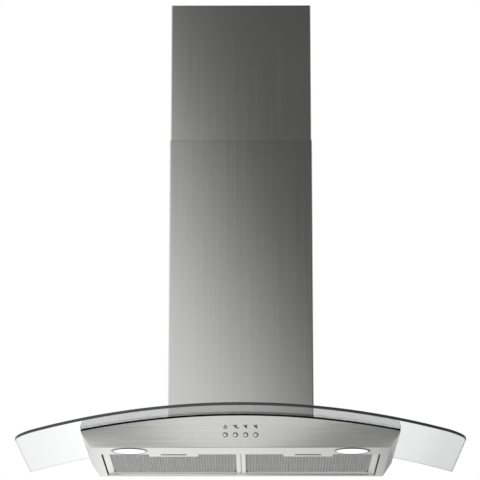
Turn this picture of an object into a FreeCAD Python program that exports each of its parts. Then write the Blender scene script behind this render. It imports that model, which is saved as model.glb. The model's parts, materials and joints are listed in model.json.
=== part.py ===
"""Curved glass wall hood with a two-part chimney: every piece, in millimetres.

X runs across the hood, left (-X) and right (+X) as seen from the front.  The wall is the plane
Y = 0 and the front looks towards -Y.  While modelling, heights are counted from the flat
underside; each piece is then lowered so that the origin lies midway between the two wall screws.
"""
import FreeCAD, Part
import math
import os

from FreeCAD import Placement, Rotation, Vector

# ---------------------------------------------------------------- driving dimensions
# Arched glass
glass_width = 898.0
glass_reach = 500.0              # front edge of the glass to the wall
glass_back_gap = 48.0            # back edge of the glass to the wall
glass_thickness = 6.0
glass_arch_radius = 1650.0       # underside of the glass
glass_crown_height = 63.7        # underside of the glass above the hood's underside
glass_bow = 14.0                 # how far the front edge falls back at its ends
glass_corner_radius = 42.0
gasket_height = 5.0
gasket_width = 9.0
gasket_edge_gap = 0.6
seat_clearance = 0.3

# Canopy body
body_sheet = 1.0
panel_allowance = 0.1            # extra depth where the panel's skin curves
body_bottom_width = 605.0
body_top_width = 643.4
body_crease_reach = 371.0        # bottom edge of the front panel to the wall
body_panel_reach = 404.0         # top edge of the front panel to the wall
filter_opening_width = 572.0
filter_opening_front = 289.0
filter_opening_back = 12.0
lip_height = 12.0
rail_width = 20.0
rail_height = 14.0
rail_sheet = 1.2
front_rail_reach = 262.0

# Grease filters
filter_gap = 0.6
filter_middle_gap = 2.0
filter_recess = 4.0
filter_thickness = 8.0
filter_side_border = 15.0
filter_middle_border = 10.0
filter_mesh_thickness = 4.8
filter_edge_round = 1.5
corner_notch = 3.5
hinge_pin_radius = 2.0
hinge_notch_width = 14.0
hinge_notch_depth = 6.0
hinge_hook_width = 11.0
hinge_inset = 46.0               # hook centre to the filter's side edge
latch_plate_width = 101.0
latch_plate_length = 56.0
latch_plate_sheet = 0.8
finger_slot_width = 51.0
finger_slot_length = 10.0
finger_slot_margin = 18.6        # slot to the plate's back edge
latch_width = 24.0
latch_thickness = 2.4
latch_nose = 3.4
latch_travel = 6.0
latch_pocket_width = 64.0
latch_offset = 5.0               # latch centre to the filter's centre

# Push buttons
button_count = 4
button_pitch = 20.5
button_height = 24.0             # centre of the row above the underside
button_radius = 5.0
button_stand = 3.5
button_travel = 2.5
button_hole_gap = 0.4
button_flange_radius = 6.6
button_flange_thickness = 1.2
button_stem_radius = 2.2
guide_height = 18.0
guide_floor = 2.4
switch_depth = 12.0

# Lamps
lamp_spacing = 452.0
lamp_reach = 331.0
lamp_ring_radius = 38.0
lamp_lens_radius = 32.0
lamp_lens_thickness = 2.8
lamp_ring_wall = 1.8
lamp_ring_drop = 1.5
lamp_sleeve_height = 8.0
lamp_housing_height = 20.0
lamp_housing_wall = 1.5
led_radius = 16.0
led_thickness = 3.0
driver_length = 100.0
driver_width = 44.0
driver_height = 22.0
driver_corner = 2.0
driver_side_gap = 20.0
driver_latch_gap = 4.0

# Air box and fan
hanging_height = 200.0           # wall screws above the underside
wall_screw_spacing = 180.0
wall_hole_radius = 4.0
keyhole_rise = 100.0
keyhole_length = 12.0
screw_edge_gap = 5.0             # cover screws to the shell's edge
airbox_sheet = 1.0
airbox_side_gap = 27.2           # air box to the inside of the lower cover
airbox_front_gap = 20.2
airbox_top = 345.0
airbox_flange = 13.0
cover_wing = 12.0                # folded edges of the front cover
fan_height = 200.0
fan_offset = -8.0
impeller_radius = 76.0
impeller_width = 98.0
impeller_ring_width = 8.0
blade_count = 32
blade_depth = 13.0
blade_thickness = 1.0
blade_camber = 0.55              # middle of the blade's curve as a part of its depth
blade_turn = 18.0                # degrees from a blade's inner edge to its outer edge
blade_tip_gap = 0.5
impeller_plate = 2.0
impeller_ring_length = 3.0
hub_radius = 14.0
hub_front = 8.0
hub_back = 4.0
shaft_radius = 4.0
shaft_nose = 20.0
shaft_end_gap = 2.0
scroll_gap = 10.0                # impeller to the start of the spiral
scroll_step = 8.0
scroll_width = 108.0
scroll_wall = 2.0
scroll_outlet_width = 132.0
inlet_radius = 58.0
motor_radius = 38.0
motor_front_gap = 6.0
motor_edge_round = 3.0
motor_lug_width = 14.0
motor_lug_reach = 70.0
motor_bush_radius = 6.0
motor_bush_height = 3.0
motor_bush_count = 3
capacitor_depth = 26.0
capacitor_width = 40.0
capacitor_height = 46.0
capacitor_low = 82.0
capacitor_corner = 4.0
capacitor_back_gap = 7.0

# Outlet
collar_radius = 75.0
collar_wall = 1.5
collar_height = 50.0
collar_flange = 9.0
collar_skin = 0.2                # outer skin left whole by the stops and the spindle
damper_height = 30.0             # flaps above the air box
damper_gap = 0.7
flap_thickness = 1.2
flap_gap = 1.0                   # flap plate to the knuckles
stop_width = 16.0
stop_depth = 3.0
stop_gap = 1.4
spindle_radius = 1.5
knuckle_radius = 3.0
knuckle_length = 12.0
knuckle_gap = 1.5
knuckle_pitch = 39.0
knuckle_count = 3

# Mains inlet
terminal_width = 30.0
terminal_length = 74.0
terminal_height = 32.0
terminal_wall = 2.0
terminal_side_gap = 2.0
terminal_front_gap = 6.0
lid_edge = 0.6
gland_radius = 8.0
gland_nut_length = 6.0
gland_neck_radius = 6.4
gland_thread_radius = 5.6
gland_thread_length = 5.0
gland_length = 18.0
cable_radius = 3.6

# Chimney covers
chimney_sheet = 0.8
chimney_width = 300.0
chimney_reach = 240.0
chimney_break = 680.7            # top of the lower cover
chimney_top = 981.0              # top of the upper cover
upper_length = 500.0
cover_clearance = 0.5
back_flange = 15.0
bracket_sheet = 1.5
bracket_height = 30.0
bracket_ear = 30.0
bracket_gap = 1.0
bracket_step = 12.0
clip_height = 130.0
clip_reach = 50.0
clip_depth = 24.0
clip_length = 20.0

# Screws
screw_radius = 2.0
screw_head_radius = 4.0
screw_head_height = 2.2
screw_length = 9.0
screw_hole_gap = 0.15
glass_hole_radius = 4.5
glass_screw_radius = 2.5
glass_screw_head_radius = 5.0
glass_screw_head_height = 3.2
glass_screw_inset = 10.0
glass_screw_back_gap = 25.0      # rear screws to the glass's back edge
washer_radius = 6.5
washer_thickness = 1.5
glass_notch_gap = 1.5            # glass to the air box
margin = 20.0                    # how far cutting shapes run past what they cut

# ---------------------------------------------------------------- worked-out places
arch_centre = glass_crown_height - glass_arch_radius
glass_top_radius = glass_arch_radius + glass_thickness
body_top_radius = glass_arch_radius - gasket_height
plate_bottom_radius = body_top_radius - body_sheet
body_bottom_half = body_bottom_width / 2
body_top_half = body_top_width / 2
panel_lean = body_panel_reach - body_crease_reach
filter_bottom = filter_recess
filter_top = filter_recess + filter_thickness
filter_mid_height = filter_recess + filter_thickness / 2
filter_front = filter_opening_front - filter_gap
filter_back = filter_opening_back + filter_gap
hinge_reach = filter_back + filter_thickness / 2
chimney_half = chimney_width / 2
chimney_inner = chimney_half - chimney_sheet
upper_inset = chimney_sheet + cover_clearance
upper_half = chimney_half - upper_inset
upper_inner = upper_half - chimney_sheet
airbox_half = chimney_inner - airbox_side_gap
airbox_reach = chimney_reach - chimney_sheet - airbox_front_gap
fan_reach = (airbox_reach + airbox_sheet) / 2
scroll_start_radius = impeller_radius + scroll_gap
lamp_hole_radius = lamp_lens_radius + lamp_ring_wall + seat_clearance
glass_screw_x = (airbox_half + glass_notch_gap + chimney_inner) / 2 + glass_hole_radius / 6
finger_slot_back = -filter_front + latch_plate_length - finger_slot_margin
finger_slot_front = finger_slot_back - finger_slot_length
latch_tab_back = finger_slot_front + latch_thickness
bracket_height_centre = chimney_top - bracket_height / 2
bracket_screw_y = -bracket_step - bracket_ear / 2
wall_screw_places = (-wall_screw_spacing / 2, wall_screw_spacing / 2)


def place(shape):
    """Lowers a shape so that the origin lies between the wall screws."""
    moved = shape.copy()
    moved.translate(Vector(0, 0, -hanging_height))
    return moved


def box(x0, x1, y0, y1, z0, z1):
    return Part.makeBox(x1 - x0, y1 - y0, z1 - z0, Vector(x0, y0, z0))


def rod(radius, start, end):
    start = Vector(*start)
    span = Vector(*end) - start
    return Part.makeCylinder(radius, span.Length, start, span)


def tube(outer, inner, start, end):
    return rod(outer, start, end).cut(rod(inner, start, end))


def fuse(shapes):
    shapes = list(shapes)
    whole = shapes[0].multiFuse(shapes[1:]) if len(shapes) > 1 else shapes[0]
    return whole.removeSplitter()


def round_uprights(block, radius):
    """Rounds the upright edges of a block."""
    uprights = [e for e in block.Edges if abs(e.Vertexes[0].Z - e.Vertexes[-1].Z) > radius]
    return block.makeFillet(radius, uprights)


def mirrored(shape):
    """The same piece on the other side of the hood."""
    return shape.mirror(Vector(0, 0, 0), Vector(1, 0, 0))


def both_sides(shape):
    return Part.Compound([mirrored(shape), shape])


def arch_height(x, radius):
    return arch_centre + math.sqrt(radius ** 2 - x ** 2)


def arch_edge(radius, half, y):
    ends = arch_height(half, radius)
    crown = Vector(0, y, arch_height(0, radius))
    return Part.Arc(Vector(-half, y, ends), crown, Vector(half, y, ends))


def arch_layer(low_radius, high_radius, half, y0, y1):
    """A curved plate between two arches, half wide each side."""
    low = arch_edge(low_radius, half, y0).toShape()
    high = arch_edge(high_radius, half, y0).toShape()
    sides = []
    for x in (-half, half):
        foot = Vector(x, y0, arch_height(half, low_radius))
        head = Vector(x, y0, arch_height(half, high_radius))
        sides.append(Part.LineSegment(foot, head).toShape())
    wire = Part.Wire(Part.__sortEdges__([low, high] + sides))
    return Part.Face(wire).extrude(Vector(0, y1 - y0, 0))


def below_arch(radius, half, y0, y1):
    """Everything under an arch, down to just below the underside."""
    arch = arch_edge(radius, half, y0).toShape()
    ends = arch_height(half, radius)
    corners = [Vector(x, y0, z) for x, z in ((-half, ends), (-half, -margin), (half, -margin), (half, ends))]
    lines = [Part.LineSegment(a, b).toShape() for a, b in zip(corners, corners[1:])]
    wire = Part.Wire(Part.__sortEdges__([arch] + lines))
    return Part.Face(wire).extrude(Vector(0, y1 - y0, 0))


def duct_axis(z):
    """The point of the outlet's axis at height z."""
    return 0, -fan_reach, z


def fan_axis(y):
    """The point of the fan's axis at depth y."""
    return fan_offset, y, fan_height


# ---------------------------------------------------------------- front panel
def panel_point(across, up):
    """A point of the leaning front panel: across is -1 to 1, up is 0 at its crease and 1 at its top."""
    low = body_bottom_half * across
    high = body_top_half * across
    x = low + (high - low) * up
    return Vector(x, -body_crease_reach - panel_lean * up, arch_height(high, body_top_radius) * up)


def panel_curve(up, spread=1.2, stations=13):
    fractions = [i / (stations - 1) for i in range(stations)]
    points = [panel_point(spread * (2 * f - 1), up) for f in fractions]
    curve = Part.BSplineCurve()
    curve.interpolate(Points=points, Parameters=fractions)
    return curve.toShape()


def ahead_of_panel(inset):
    """The space in front of the panel's skin, moved back by inset."""
    skin = Part.makeRuledSurface(panel_curve(-0.1), panel_curve(1.4))
    skin.translate(Vector(0, inset, 0))
    return skin.extrude(Vector(0, -body_panel_reach, 0))


panel_crown = arch_height(0, body_top_radius)
panel_angle = math.degrees(math.atan2(panel_lean, panel_crown))
panel_inset = body_sheet / math.cos(math.radians(panel_angle)) + panel_allowance
panel_skin = panel_inset * math.cos(math.radians(panel_angle))
button_row = panel_point(0, button_height / panel_crown)
button_places = [(i - (button_count - 1) / 2) * button_pitch for i in range(button_count)]
guide_half = (button_count - 1) / 2 * button_pitch + button_pitch / 2
flange_start = panel_skin + seat_clearance
flange_end = flange_start + button_flange_thickness
guide_depth = flange_end + button_travel + seat_clearance + guide_floor
stem_end = guide_depth + 1.0


def on_panel(shape):
    """Turns a shape made on the XY plane so that its +Z points into the panel at the button row."""
    turned = shape.copy()
    tilt = Placement(button_row, Rotation(Vector(1, 0, 0), panel_angle - 90))
    turned.Placement = tilt.multiply(turned.Placement)
    return turned


# ---------------------------------------------------------------- canopy body
def tray_block(inset):
    """The tray's outer form, open towards the front, with its skin moved in by inset."""
    side_height = arch_height(body_top_half, body_top_radius)
    slope = (body_top_half - body_bottom_half) / side_height
    skin = inset * math.sqrt(1 + slope ** 2)
    high = 2 * glass_crown_height

    def corner(side, height):
        return Vector(side * (body_bottom_half + slope * height - skin), 0, height)
    corners = [corner(-1, inset), corner(1, inset), corner(1, high), corner(-1, high)]
    face = Part.Face(Part.makePolygon(corners + corners[:1]))
    face.translate(Vector(0, -inset, 0))
    return face.extrude(Vector(0, -body_panel_reach - margin, 0))


def tray_outer():
    block = tray_block(0).cut(ahead_of_panel(0))
    return block.common(below_arch(body_top_radius, body_top_half + margin, -body_panel_reach - margin, 1))


def tray_inner():
    return tray_block(body_sheet).cut(ahead_of_panel(panel_inset))


def hook_places():
    """Centres of the four hooks that hold the filters' hinge pins."""
    inner = filter_middle_gap / 2 + hinge_inset
    outer = filter_opening_width / 2 - filter_gap - hinge_inset
    return [-outer, -inner, inner, outer]


def latch_centre():
    return (filter_middle_gap / 2 + filter_opening_width / 2 - filter_gap) / 2 - latch_offset


def canopy_body():
    half = filter_opening_width / 2
    front = -filter_opening_front
    back = -filter_opening_back
    shell = tray_outer().cut(tray_inner())
    lip = box(-half - body_sheet, half + body_sheet, front - body_sheet, back + body_sheet, 0, lip_height)
    whole = shell.fuse(lip).cut(box(-half, half, front, back, -1, lip_height + 1))
    hook_top = filter_mid_height - hinge_pin_radius - seat_clearance
    hook_low = hook_top - rail_sheet
    hook_front = -hinge_reach - hinge_pin_radius
    hooks = [box(x - hinge_hook_width / 2, x + hinge_hook_width / 2, hook_front, back, hook_low, hook_top)
             for x in hook_places()]
    whole = fuse([whole] + hooks)
    slot_half = latch_width / 2 + seat_clearance
    slot_low = filter_mid_height - latch_thickness / 2 - seat_clearance
    slot_high = filter_mid_height + latch_thickness / 2 + seat_clearance
    for x in (-latch_centre(), latch_centre()):
        slot = box(x - slot_half, x + slot_half, front - 2 * body_sheet, front + 1, slot_low, slot_high)
        whole = whole.cut(slot)
    for x in (-lamp_spacing / 2, lamp_spacing / 2):
        whole = whole.cut(rod(lamp_hole_radius, (x, -lamp_reach, -1), (x, -lamp_reach, body_sheet + 1)))
    for x in button_places:
        hole = rod(button_radius + button_hole_gap, (x, 0, -button_stand), (x, 0, button_stand))
        whole = whole.cut(on_panel(hole))
    return whole.removeSplitter()


def air_way():
    """The column through which the air rises out of the tray."""
    half = airbox_half - airbox_flange
    return box(-half, half, -airbox_reach + airbox_flange, -airbox_flange, 0, airbox_top)


def glass_screw_places():
    rows = (-airbox_reach + glass_screw_inset, -glass_back_gap - glass_screw_back_gap)
    return [(x, y) for x in (-glass_screw_x, glass_screw_x) for y in rows]


def without_screw_holes(sheet, radius):
    for x, y in glass_screw_places():
        sheet = sheet.cut(rod(radius, (x, y, 0), (x, y, airbox_top)))
    return sheet


def canopy_top_plate():
    front = -body_panel_reach - margin
    layer = arch_layer(plate_bottom_radius, body_top_radius, body_top_half + margin, front, 0)
    plate = layer.common(tray_inner()).cut(air_way())
    return without_screw_holes(plate, glass_screw_radius + screw_hole_gap)


def inner_frame():
    """A ladder of channels, open at the bottom, under the top plate."""
    back = -body_sheet
    front = -front_rail_reach - rail_width
    inner = glass_screw_x - rail_width / 2
    outer = glass_screw_x + rail_width / 2

    def bars(shrink):
        sides = [box(x0 + shrink, x1 - shrink, front + shrink, back - shrink, 0, airbox_top)
                 for x0, x1 in ((inner, outer), (-outer, -inner))]
        reach = inner + shrink
        return fuse(sides + [box(-reach, reach, front + shrink, front + rail_width - shrink, 0, airbox_top)])
    low = plate_bottom_radius - rail_height
    spread = outer + margin
    solid = arch_layer(low, plate_bottom_radius, spread, front - margin, 0).common(bars(0))
    room = arch_layer(low - 1, plate_bottom_radius - rail_sheet, spread, front - margin, 0)
    frame = solid.cut(room.common(bars(rail_sheet)))
    return without_screw_holes(frame, glass_screw_radius + screw_hole_gap).removeSplitter()


# ---------------------------------------------------------------- glass
def glass_plan(height):
    """The glass sheet's outline seen from above, as a tall block."""
    half = glass_width / 2
    back = -glass_back_gap
    side_front = -glass_reach + glass_bow
    spots = ((half, side_front), (half, back), (-half, back), (-half, side_front))
    corners = [Vector(x, y, 0) for x, y in spots]
    bow = Part.Arc(corners[3], Vector(0, -glass_reach, 0), corners[0]).toShape()
    lines = [Part.LineSegment(a, b).toShape() for a, b in zip(corners, corners[1:])]
    block = Part.Face(Part.Wire([bow] + lines)).extrude(Vector(0, 0, height))
    front_edges = [e for e in block.Edges if abs(e.CenterOfMass.y - side_front) < 0.01]
    corner_edges = [e for e in front_edges if abs(abs(e.CenterOfMass.x) - half) < 0.01]
    return block.makeFillet(glass_corner_radius, corner_edges)


def glass_canopy():
    spread = glass_width / 2 + margin
    layer = arch_layer(glass_arch_radius, glass_top_radius, spread, -glass_reach - margin, 0)
    plan = glass_plan(3 * glass_crown_height)
    plan.translate(Vector(0, 0, -glass_crown_height))
    side = airbox_half + glass_notch_gap
    notch = box(-side, side, -airbox_reach - glass_notch_gap, 0, 0, airbox_top)
    return without_screw_holes(layer.common(plan).cut(notch), glass_hole_radius)


def glass_gasket():
    half = body_top_half - gasket_edge_gap
    front = -body_panel_reach + gasket_edge_gap
    back = -glass_back_gap - gasket_edge_gap
    layer = arch_layer(body_top_radius, glass_arch_radius, half + margin, front - margin, 0)
    outline = box(-half, half, front, back, 0, airbox_top)
    middle = box(-half + gasket_width, half - gasket_width, front + gasket_width, 0, 0, airbox_top)
    return layer.common(outline.cut(middle))


def glass_screws():
    screws = []
    for x, y in glass_screw_places():
        head_low = arch_height(x, glass_top_radius) + washer_thickness + glass_slope_rise()
        shank_low = arch_height(x, plate_bottom_radius) - rail_height
        head = rod(glass_screw_head_radius, (x, y, head_low), (x, y, head_low + glass_screw_head_height))
        screws.append(head.fuse(rod(glass_screw_radius, (x, y, shank_low), (x, y, head_low + 1))))
    return Part.Compound([s.removeSplitter() for s in screws])


def glass_slope_rise():
    """How much the arch climbs across half a washer beside the air box."""
    return abs(arch_height(glass_screw_x, glass_top_radius)
               - arch_height(glass_screw_x - washer_radius, glass_top_radius))


def glass_washers():
    """A flat washer on the glass and a spacer under it at each screw."""
    rings = []
    reach = glass_screw_x + 2 * washer_radius
    rise = glass_slope_rise()
    spacer = arch_layer(body_top_radius, glass_arch_radius, reach, -chimney_reach, 0)
    washer = arch_layer(glass_top_radius, glass_top_radius + 3 * washer_thickness, reach, -chimney_reach, 0)
    for x, y in glass_screw_places():
        collar = tube(washer_radius, glass_screw_radius + screw_hole_gap, (x, y, 0), (x, y, airbox_top))
        rings.append(spacer.common(collar))
        top = arch_height(x, glass_top_radius) + washer_thickness + rise
        flat = rod(washer_radius, (x, y, 0), (x, y, top))
        rings.append(washer.common(collar).common(flat))
    return Part.Compound([solid for ring in rings for solid in ring.Solids])


# ---------------------------------------------------------------- grease filters (right-hand side)
def filter_span():
    return filter_middle_gap / 2, filter_opening_width / 2 - filter_gap


def hinge_centres():
    inner, outer = filter_span()
    return [inner + hinge_inset, outer - hinge_inset]


def latch_slot(gap):
    """The room of the latch bolt in the filter's front border."""
    half = latch_width / 2 + gap
    rise = latch_thickness / 2 + gap
    centre = latch_centre()
    return box(centre - half, centre + half, -filter_front - latch_nose,
               -filter_front + filter_side_border + 1, filter_mid_height - rise, filter_mid_height + rise)


def filter_frame():
    inner, outer = filter_span()
    slab = box(inner, outer, -filter_front, -hinge_reach, filter_bottom, filter_top)
    axis = [(x, -hinge_reach, filter_mid_height) for x in (inner, outer)]
    rim = rod(filter_thickness / 2, *axis)
    window = box(inner + filter_middle_border, outer - filter_side_border, -filter_front + filter_side_border,
                 -filter_back - filter_side_border, 0, filter_top + 1)
    front_edges = [e for e in slab.Edges if abs(e.Vertexes[0].Y + filter_front) < 0.01
                   and abs(e.Vertexes[-1].Y + filter_front) < 0.01]
    frame = fuse([slab.makeFillet(filter_edge_round, front_edges), rim]).cut(window)
    for x in (inner + filter_middle_border, outer - filter_side_border):
        frame = frame.cut(box(x - corner_notch, x + corner_notch, -filter_back - filter_side_border - 1,
                              -filter_back - filter_side_border + corner_notch, 0, filter_mid_height))
    for x in hinge_centres():
        half = hinge_notch_width / 2
        frame = frame.cut(box(x - half, x + half, -hinge_reach - hinge_notch_depth, 0, 0, filter_top + 1))
    pin = rod(hinge_pin_radius, *axis)
    return frame.fuse(pin).cut(latch_slot(seat_clearance)).removeSplitter()


def filter_mesh():
    inner, outer = filter_span()
    half = filter_mesh_thickness / 2
    mesh = box(inner + filter_middle_border, outer - filter_side_border, -filter_front + filter_side_border,
               -filter_back - filter_side_border, filter_mid_height - half, filter_mid_height + half)
    left = latch_centre() - latch_pocket_width / 2
    right = left + latch_pocket_width
    return mesh.cut(box(left, right, -filter_front, finger_slot_back + latch_travel, 0, filter_top + 1))


def filter_latch_plate():
    centre = latch_centre()
    half = latch_plate_width / 2
    low = filter_mid_height - filter_mesh_thickness / 2 - latch_plate_sheet
    plate = box(centre - half, centre + half, -filter_front + filter_side_border,
                -filter_front + latch_plate_length, low, low + latch_plate_sheet)
    slot_half = finger_slot_width / 2
    slot = box(centre - slot_half, centre + slot_half, finger_slot_front, finger_slot_back, 0, filter_top)
    return plate.cut(slot)


def filter_latch():
    """The sprung bolt, with its nose in the tray's lip and a finger tab behind the slot."""
    centre = latch_centre()
    low = filter_mid_height - latch_thickness / 2
    high = filter_mid_height + latch_thickness / 2
    back = latch_tab_back
    left = centre - latch_width / 2
    bolt = box(left, left + latch_width, -filter_front - latch_nose, back, low, high)
    tab_half = finger_slot_width / 2 - latch_thickness
    bar = box(centre - tab_half, centre + tab_half, back - 2 * latch_thickness, back, low, high)
    plate_low = filter_mid_height - filter_mesh_thickness / 2 - latch_plate_sheet
    tab = box(centre - tab_half, centre + tab_half, back - latch_thickness / 2, back, plate_low, high)
    nose = [e for e in bolt.Edges if abs(e.CenterOfMass.y + filter_front + latch_nose) < 0.01
            and abs(e.CenterOfMass.z - low) < 0.01]
    return fuse([bolt.makeChamfer(latch_thickness / 2, nose), bar, tab])


# ---------------------------------------------------------------- buttons and lamps
def button(x):
    cap = rod(button_radius, (x, 0, -button_stand), (x, 0, flange_end))
    crown = [e for e in cap.Edges if abs(e.CenterOfMass.z + button_stand) < 0.01]
    cap = cap.makeFillet(button_radius / 5, crown)
    flange = rod(button_flange_radius, (x, 0, flange_start), (x, 0, flange_end))
    stem = rod(button_stem_radius, (x, 0, flange_end - 0.5), (x, 0, stem_end))
    return on_panel(fuse([cap, flange, stem]))


def button_guide():
    start = panel_skin + 0.05
    floor = guide_depth - guide_floor
    block = box(-guide_half, guide_half, -guide_height / 2, guide_height / 2, start, guide_depth)
    for x in button_places:
        block = block.cut(rod(button_flange_radius + 2 * seat_clearance, (x, 0, 0), (x, 0, floor)))
        block = block.cut(rod(button_stem_radius + seat_clearance, (x, 0, 0), (x, 0, guide_depth + 1)))
    return on_panel(block)


def switch_module():
    back = guide_depth + switch_depth
    block = box(-guide_half, guide_half, -guide_height / 2, guide_height / 2, guide_depth, back)
    for x in button_places:
        block = block.cut(rod(button_stem_radius + 2 * seat_clearance, (x, 0, guide_depth - 1),
                              (x, 0, stem_end + button_travel + seat_clearance)))
    return on_panel(block)


def lamp_ring():
    x = lamp_spacing / 2
    bottom = (x, -lamp_reach, -lamp_ring_drop)
    flange = tube(lamp_ring_radius, lamp_lens_radius, bottom, (x, -lamp_reach, 0))
    rim = [e for e in flange.Edges if abs(e.CenterOfMass.z + lamp_ring_drop) < 0.01
           and abs(e.Curve.Radius - lamp_ring_radius) < 0.01 and len(e.Vertexes) < 2]
    flange = flange.makeFillet(lamp_ring_drop * 0.6, rim)
    sleeve_top = (x, -lamp_reach, lamp_sleeve_height)
    sleeve = tube(lamp_lens_radius + lamp_ring_wall, lamp_lens_radius, bottom, sleeve_top)
    return flange.fuse(sleeve).removeSplitter()


def lamp_lens():
    x = lamp_spacing / 2
    low = -lamp_ring_drop / 2
    high = low + lamp_lens_thickness
    return rod(lamp_lens_radius - screw_hole_gap, (x, -lamp_reach, low), (x, -lamp_reach, high))


def lamp_housing():
    x = lamp_spacing / 2
    outer = lamp_hole_radius + lamp_housing_wall
    top = lamp_housing_height - lamp_housing_wall
    cup = rod(outer, (x, -lamp_reach, body_sheet), (x, -lamp_reach, lamp_housing_height))
    return cup.cut(rod(lamp_hole_radius, (x, -lamp_reach, 0), (x, -lamp_reach, top)))


def lamp_led():
    x = lamp_spacing / 2
    top = lamp_housing_height - lamp_housing_wall
    return rod(led_radius, (x, -lamp_reach, top - led_thickness), (x, -lamp_reach, top))


def lamp_driver():
    start = guide_half + driver_side_gap
    back = -filter_front - latch_nose - driver_latch_gap
    top = body_sheet + driver_height
    block = box(start, start + driver_length, back - driver_width, back, body_sheet, top)
    return round_uprights(block, driver_corner)


# ---------------------------------------------------------------- screws
def screw(x, y, z, inwards):
    """A pan-head screw with its head at x on a side wall; inwards is the X direction of its shank."""
    head = rod(screw_head_radius, (x, y, z), (x - inwards * screw_head_height, y, z))
    shank = rod(screw_radius, (x - inwards * 0.5, y, z), (x + inwards * screw_length, y, z))
    return head.fuse(shank).removeSplitter()


def side_hole(y, z):
    reach = chimney_width
    return rod(screw_radius + screw_hole_gap, (-reach, y, z), (reach, y, z))


def wall_hole(radius, x, z):
    return rod(radius, (x, -margin, z), (x, margin, z))


# ---------------------------------------------------------------- air box
def cover_screw_heights():
    span = airbox_top - glass_crown_height
    return [glass_crown_height + span * (1 + 2 * row) / 6 for row in range(3)]


cover_screw_reach = airbox_reach - airbox_sheet - screw_edge_gap


def airbox_shell():
    sheet = airbox_sheet
    low = glass_crown_height / 2
    front = -airbox_reach + sheet
    outer = box(-airbox_half, airbox_half, front, 0, low, airbox_top)
    inner = box(-airbox_half + sheet, airbox_half - sheet, front - 1, -sheet, low - 1, airbox_top - sheet)
    shell = outer.cut(inner)
    flange = arch_layer(body_top_radius, body_top_radius + sheet, airbox_half, front, -sheet)
    flange = flange.cut(air_way())
    shell = fuse([shell.cut(below_arch(body_top_radius, chimney_half, -chimney_reach, 1)), flange])
    outlet = collar_radius - collar_wall
    shell = shell.cut(rod(outlet, duct_axis(airbox_top - margin), duct_axis(airbox_top + margin)))
    top = hanging_height + keyhole_rise
    low = top - keyhole_length
    for x in wall_screw_places:
        shell = shell.cut(wall_hole(wall_hole_radius, x, hanging_height))
        shell = shell.cut(wall_hole(2 * wall_hole_radius, x, low)).cut(wall_hole(wall_hole_radius, x, top))
        shell = shell.cut(box(x - wall_hole_radius, x + wall_hole_radius, -margin, margin, low, top))
    for z in cover_screw_heights():
        shell = shell.cut(side_hole(-cover_screw_reach, z))
    shell = shell.cut(side_hole(-clip_reach, clip_height))
    return shell.removeSplitter()


def airbox_front_cover():
    sheet = airbox_sheet
    low = glass_crown_height / 2
    front = -airbox_reach
    plate = box(-airbox_half, airbox_half, front, front + sheet, low, airbox_top)
    side = airbox_half - sheet
    wing = box(side - sheet, side, front, front + cover_wing, low, airbox_top - sheet)
    cover = fuse([plate, wing, mirrored(wing)])
    cover = cover.cut(below_arch(body_top_radius + sheet, chimney_half, -chimney_reach, 1))
    for z in cover_screw_heights():
        cover = cover.cut(side_hole(-cover_screw_reach, z))
    return cover


def cover_screws():
    return Part.Compound([screw(side * airbox_half, -cover_screw_reach, z, -side)
                          for side in (-1, 1) for z in cover_screw_heights()])


# ---------------------------------------------------------------- fan
def scroll_outline(grow):
    """The spiral in the XZ plane: three quarter turns about shifting centres, then the outlet."""
    half = scroll_step / 2
    centres = [(fan_offset - half, fan_height - half), (fan_offset + half, fan_height - half),
               (fan_offset + half, fan_height + half)]
    radii = [scroll_start_radius + i * scroll_step + grow for i in range(3)]
    edges = []
    for i, ((x, z), radius) in enumerate(zip(centres, radii)):
        turns = [math.radians(90 + 90 * i + part) for part in (0, 45, 90)]
        points = [Vector(x + radius * math.cos(a), 0, z + radius * math.sin(a)) for a in turns]
        edges.append(Part.Arc(*points).toShape())
        if i == 0:
            start = points[0]
    end = points[-1]
    top = airbox_top - airbox_sheet
    outlet = scroll_outlet_width / 2 + grow
    corners = [end, Vector(outlet, 0, top), Vector(-outlet, 0, top), start]
    edges += [Part.LineSegment(a, b).toShape() for a, b in zip(corners, corners[1:])]
    return Part.Face(Part.Wire(edges))


def scroll_half(side):
    """side is 1 for the half next to the wall and -1 for the front half."""
    middle = -fan_reach
    depth = side * scroll_width / 2
    wall = scroll_outline(scroll_wall)
    room = scroll_outline(0)
    for face in (wall, room):
        face.translate(Vector(0, middle, 0))
    half = wall.extrude(Vector(0, depth, 0)).cut(room.extrude(Vector(0, depth - side * scroll_wall, 0)))
    return half.cut(rod(inlet_radius, fan_axis(middle), fan_axis(middle + 2 * depth)))


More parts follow.
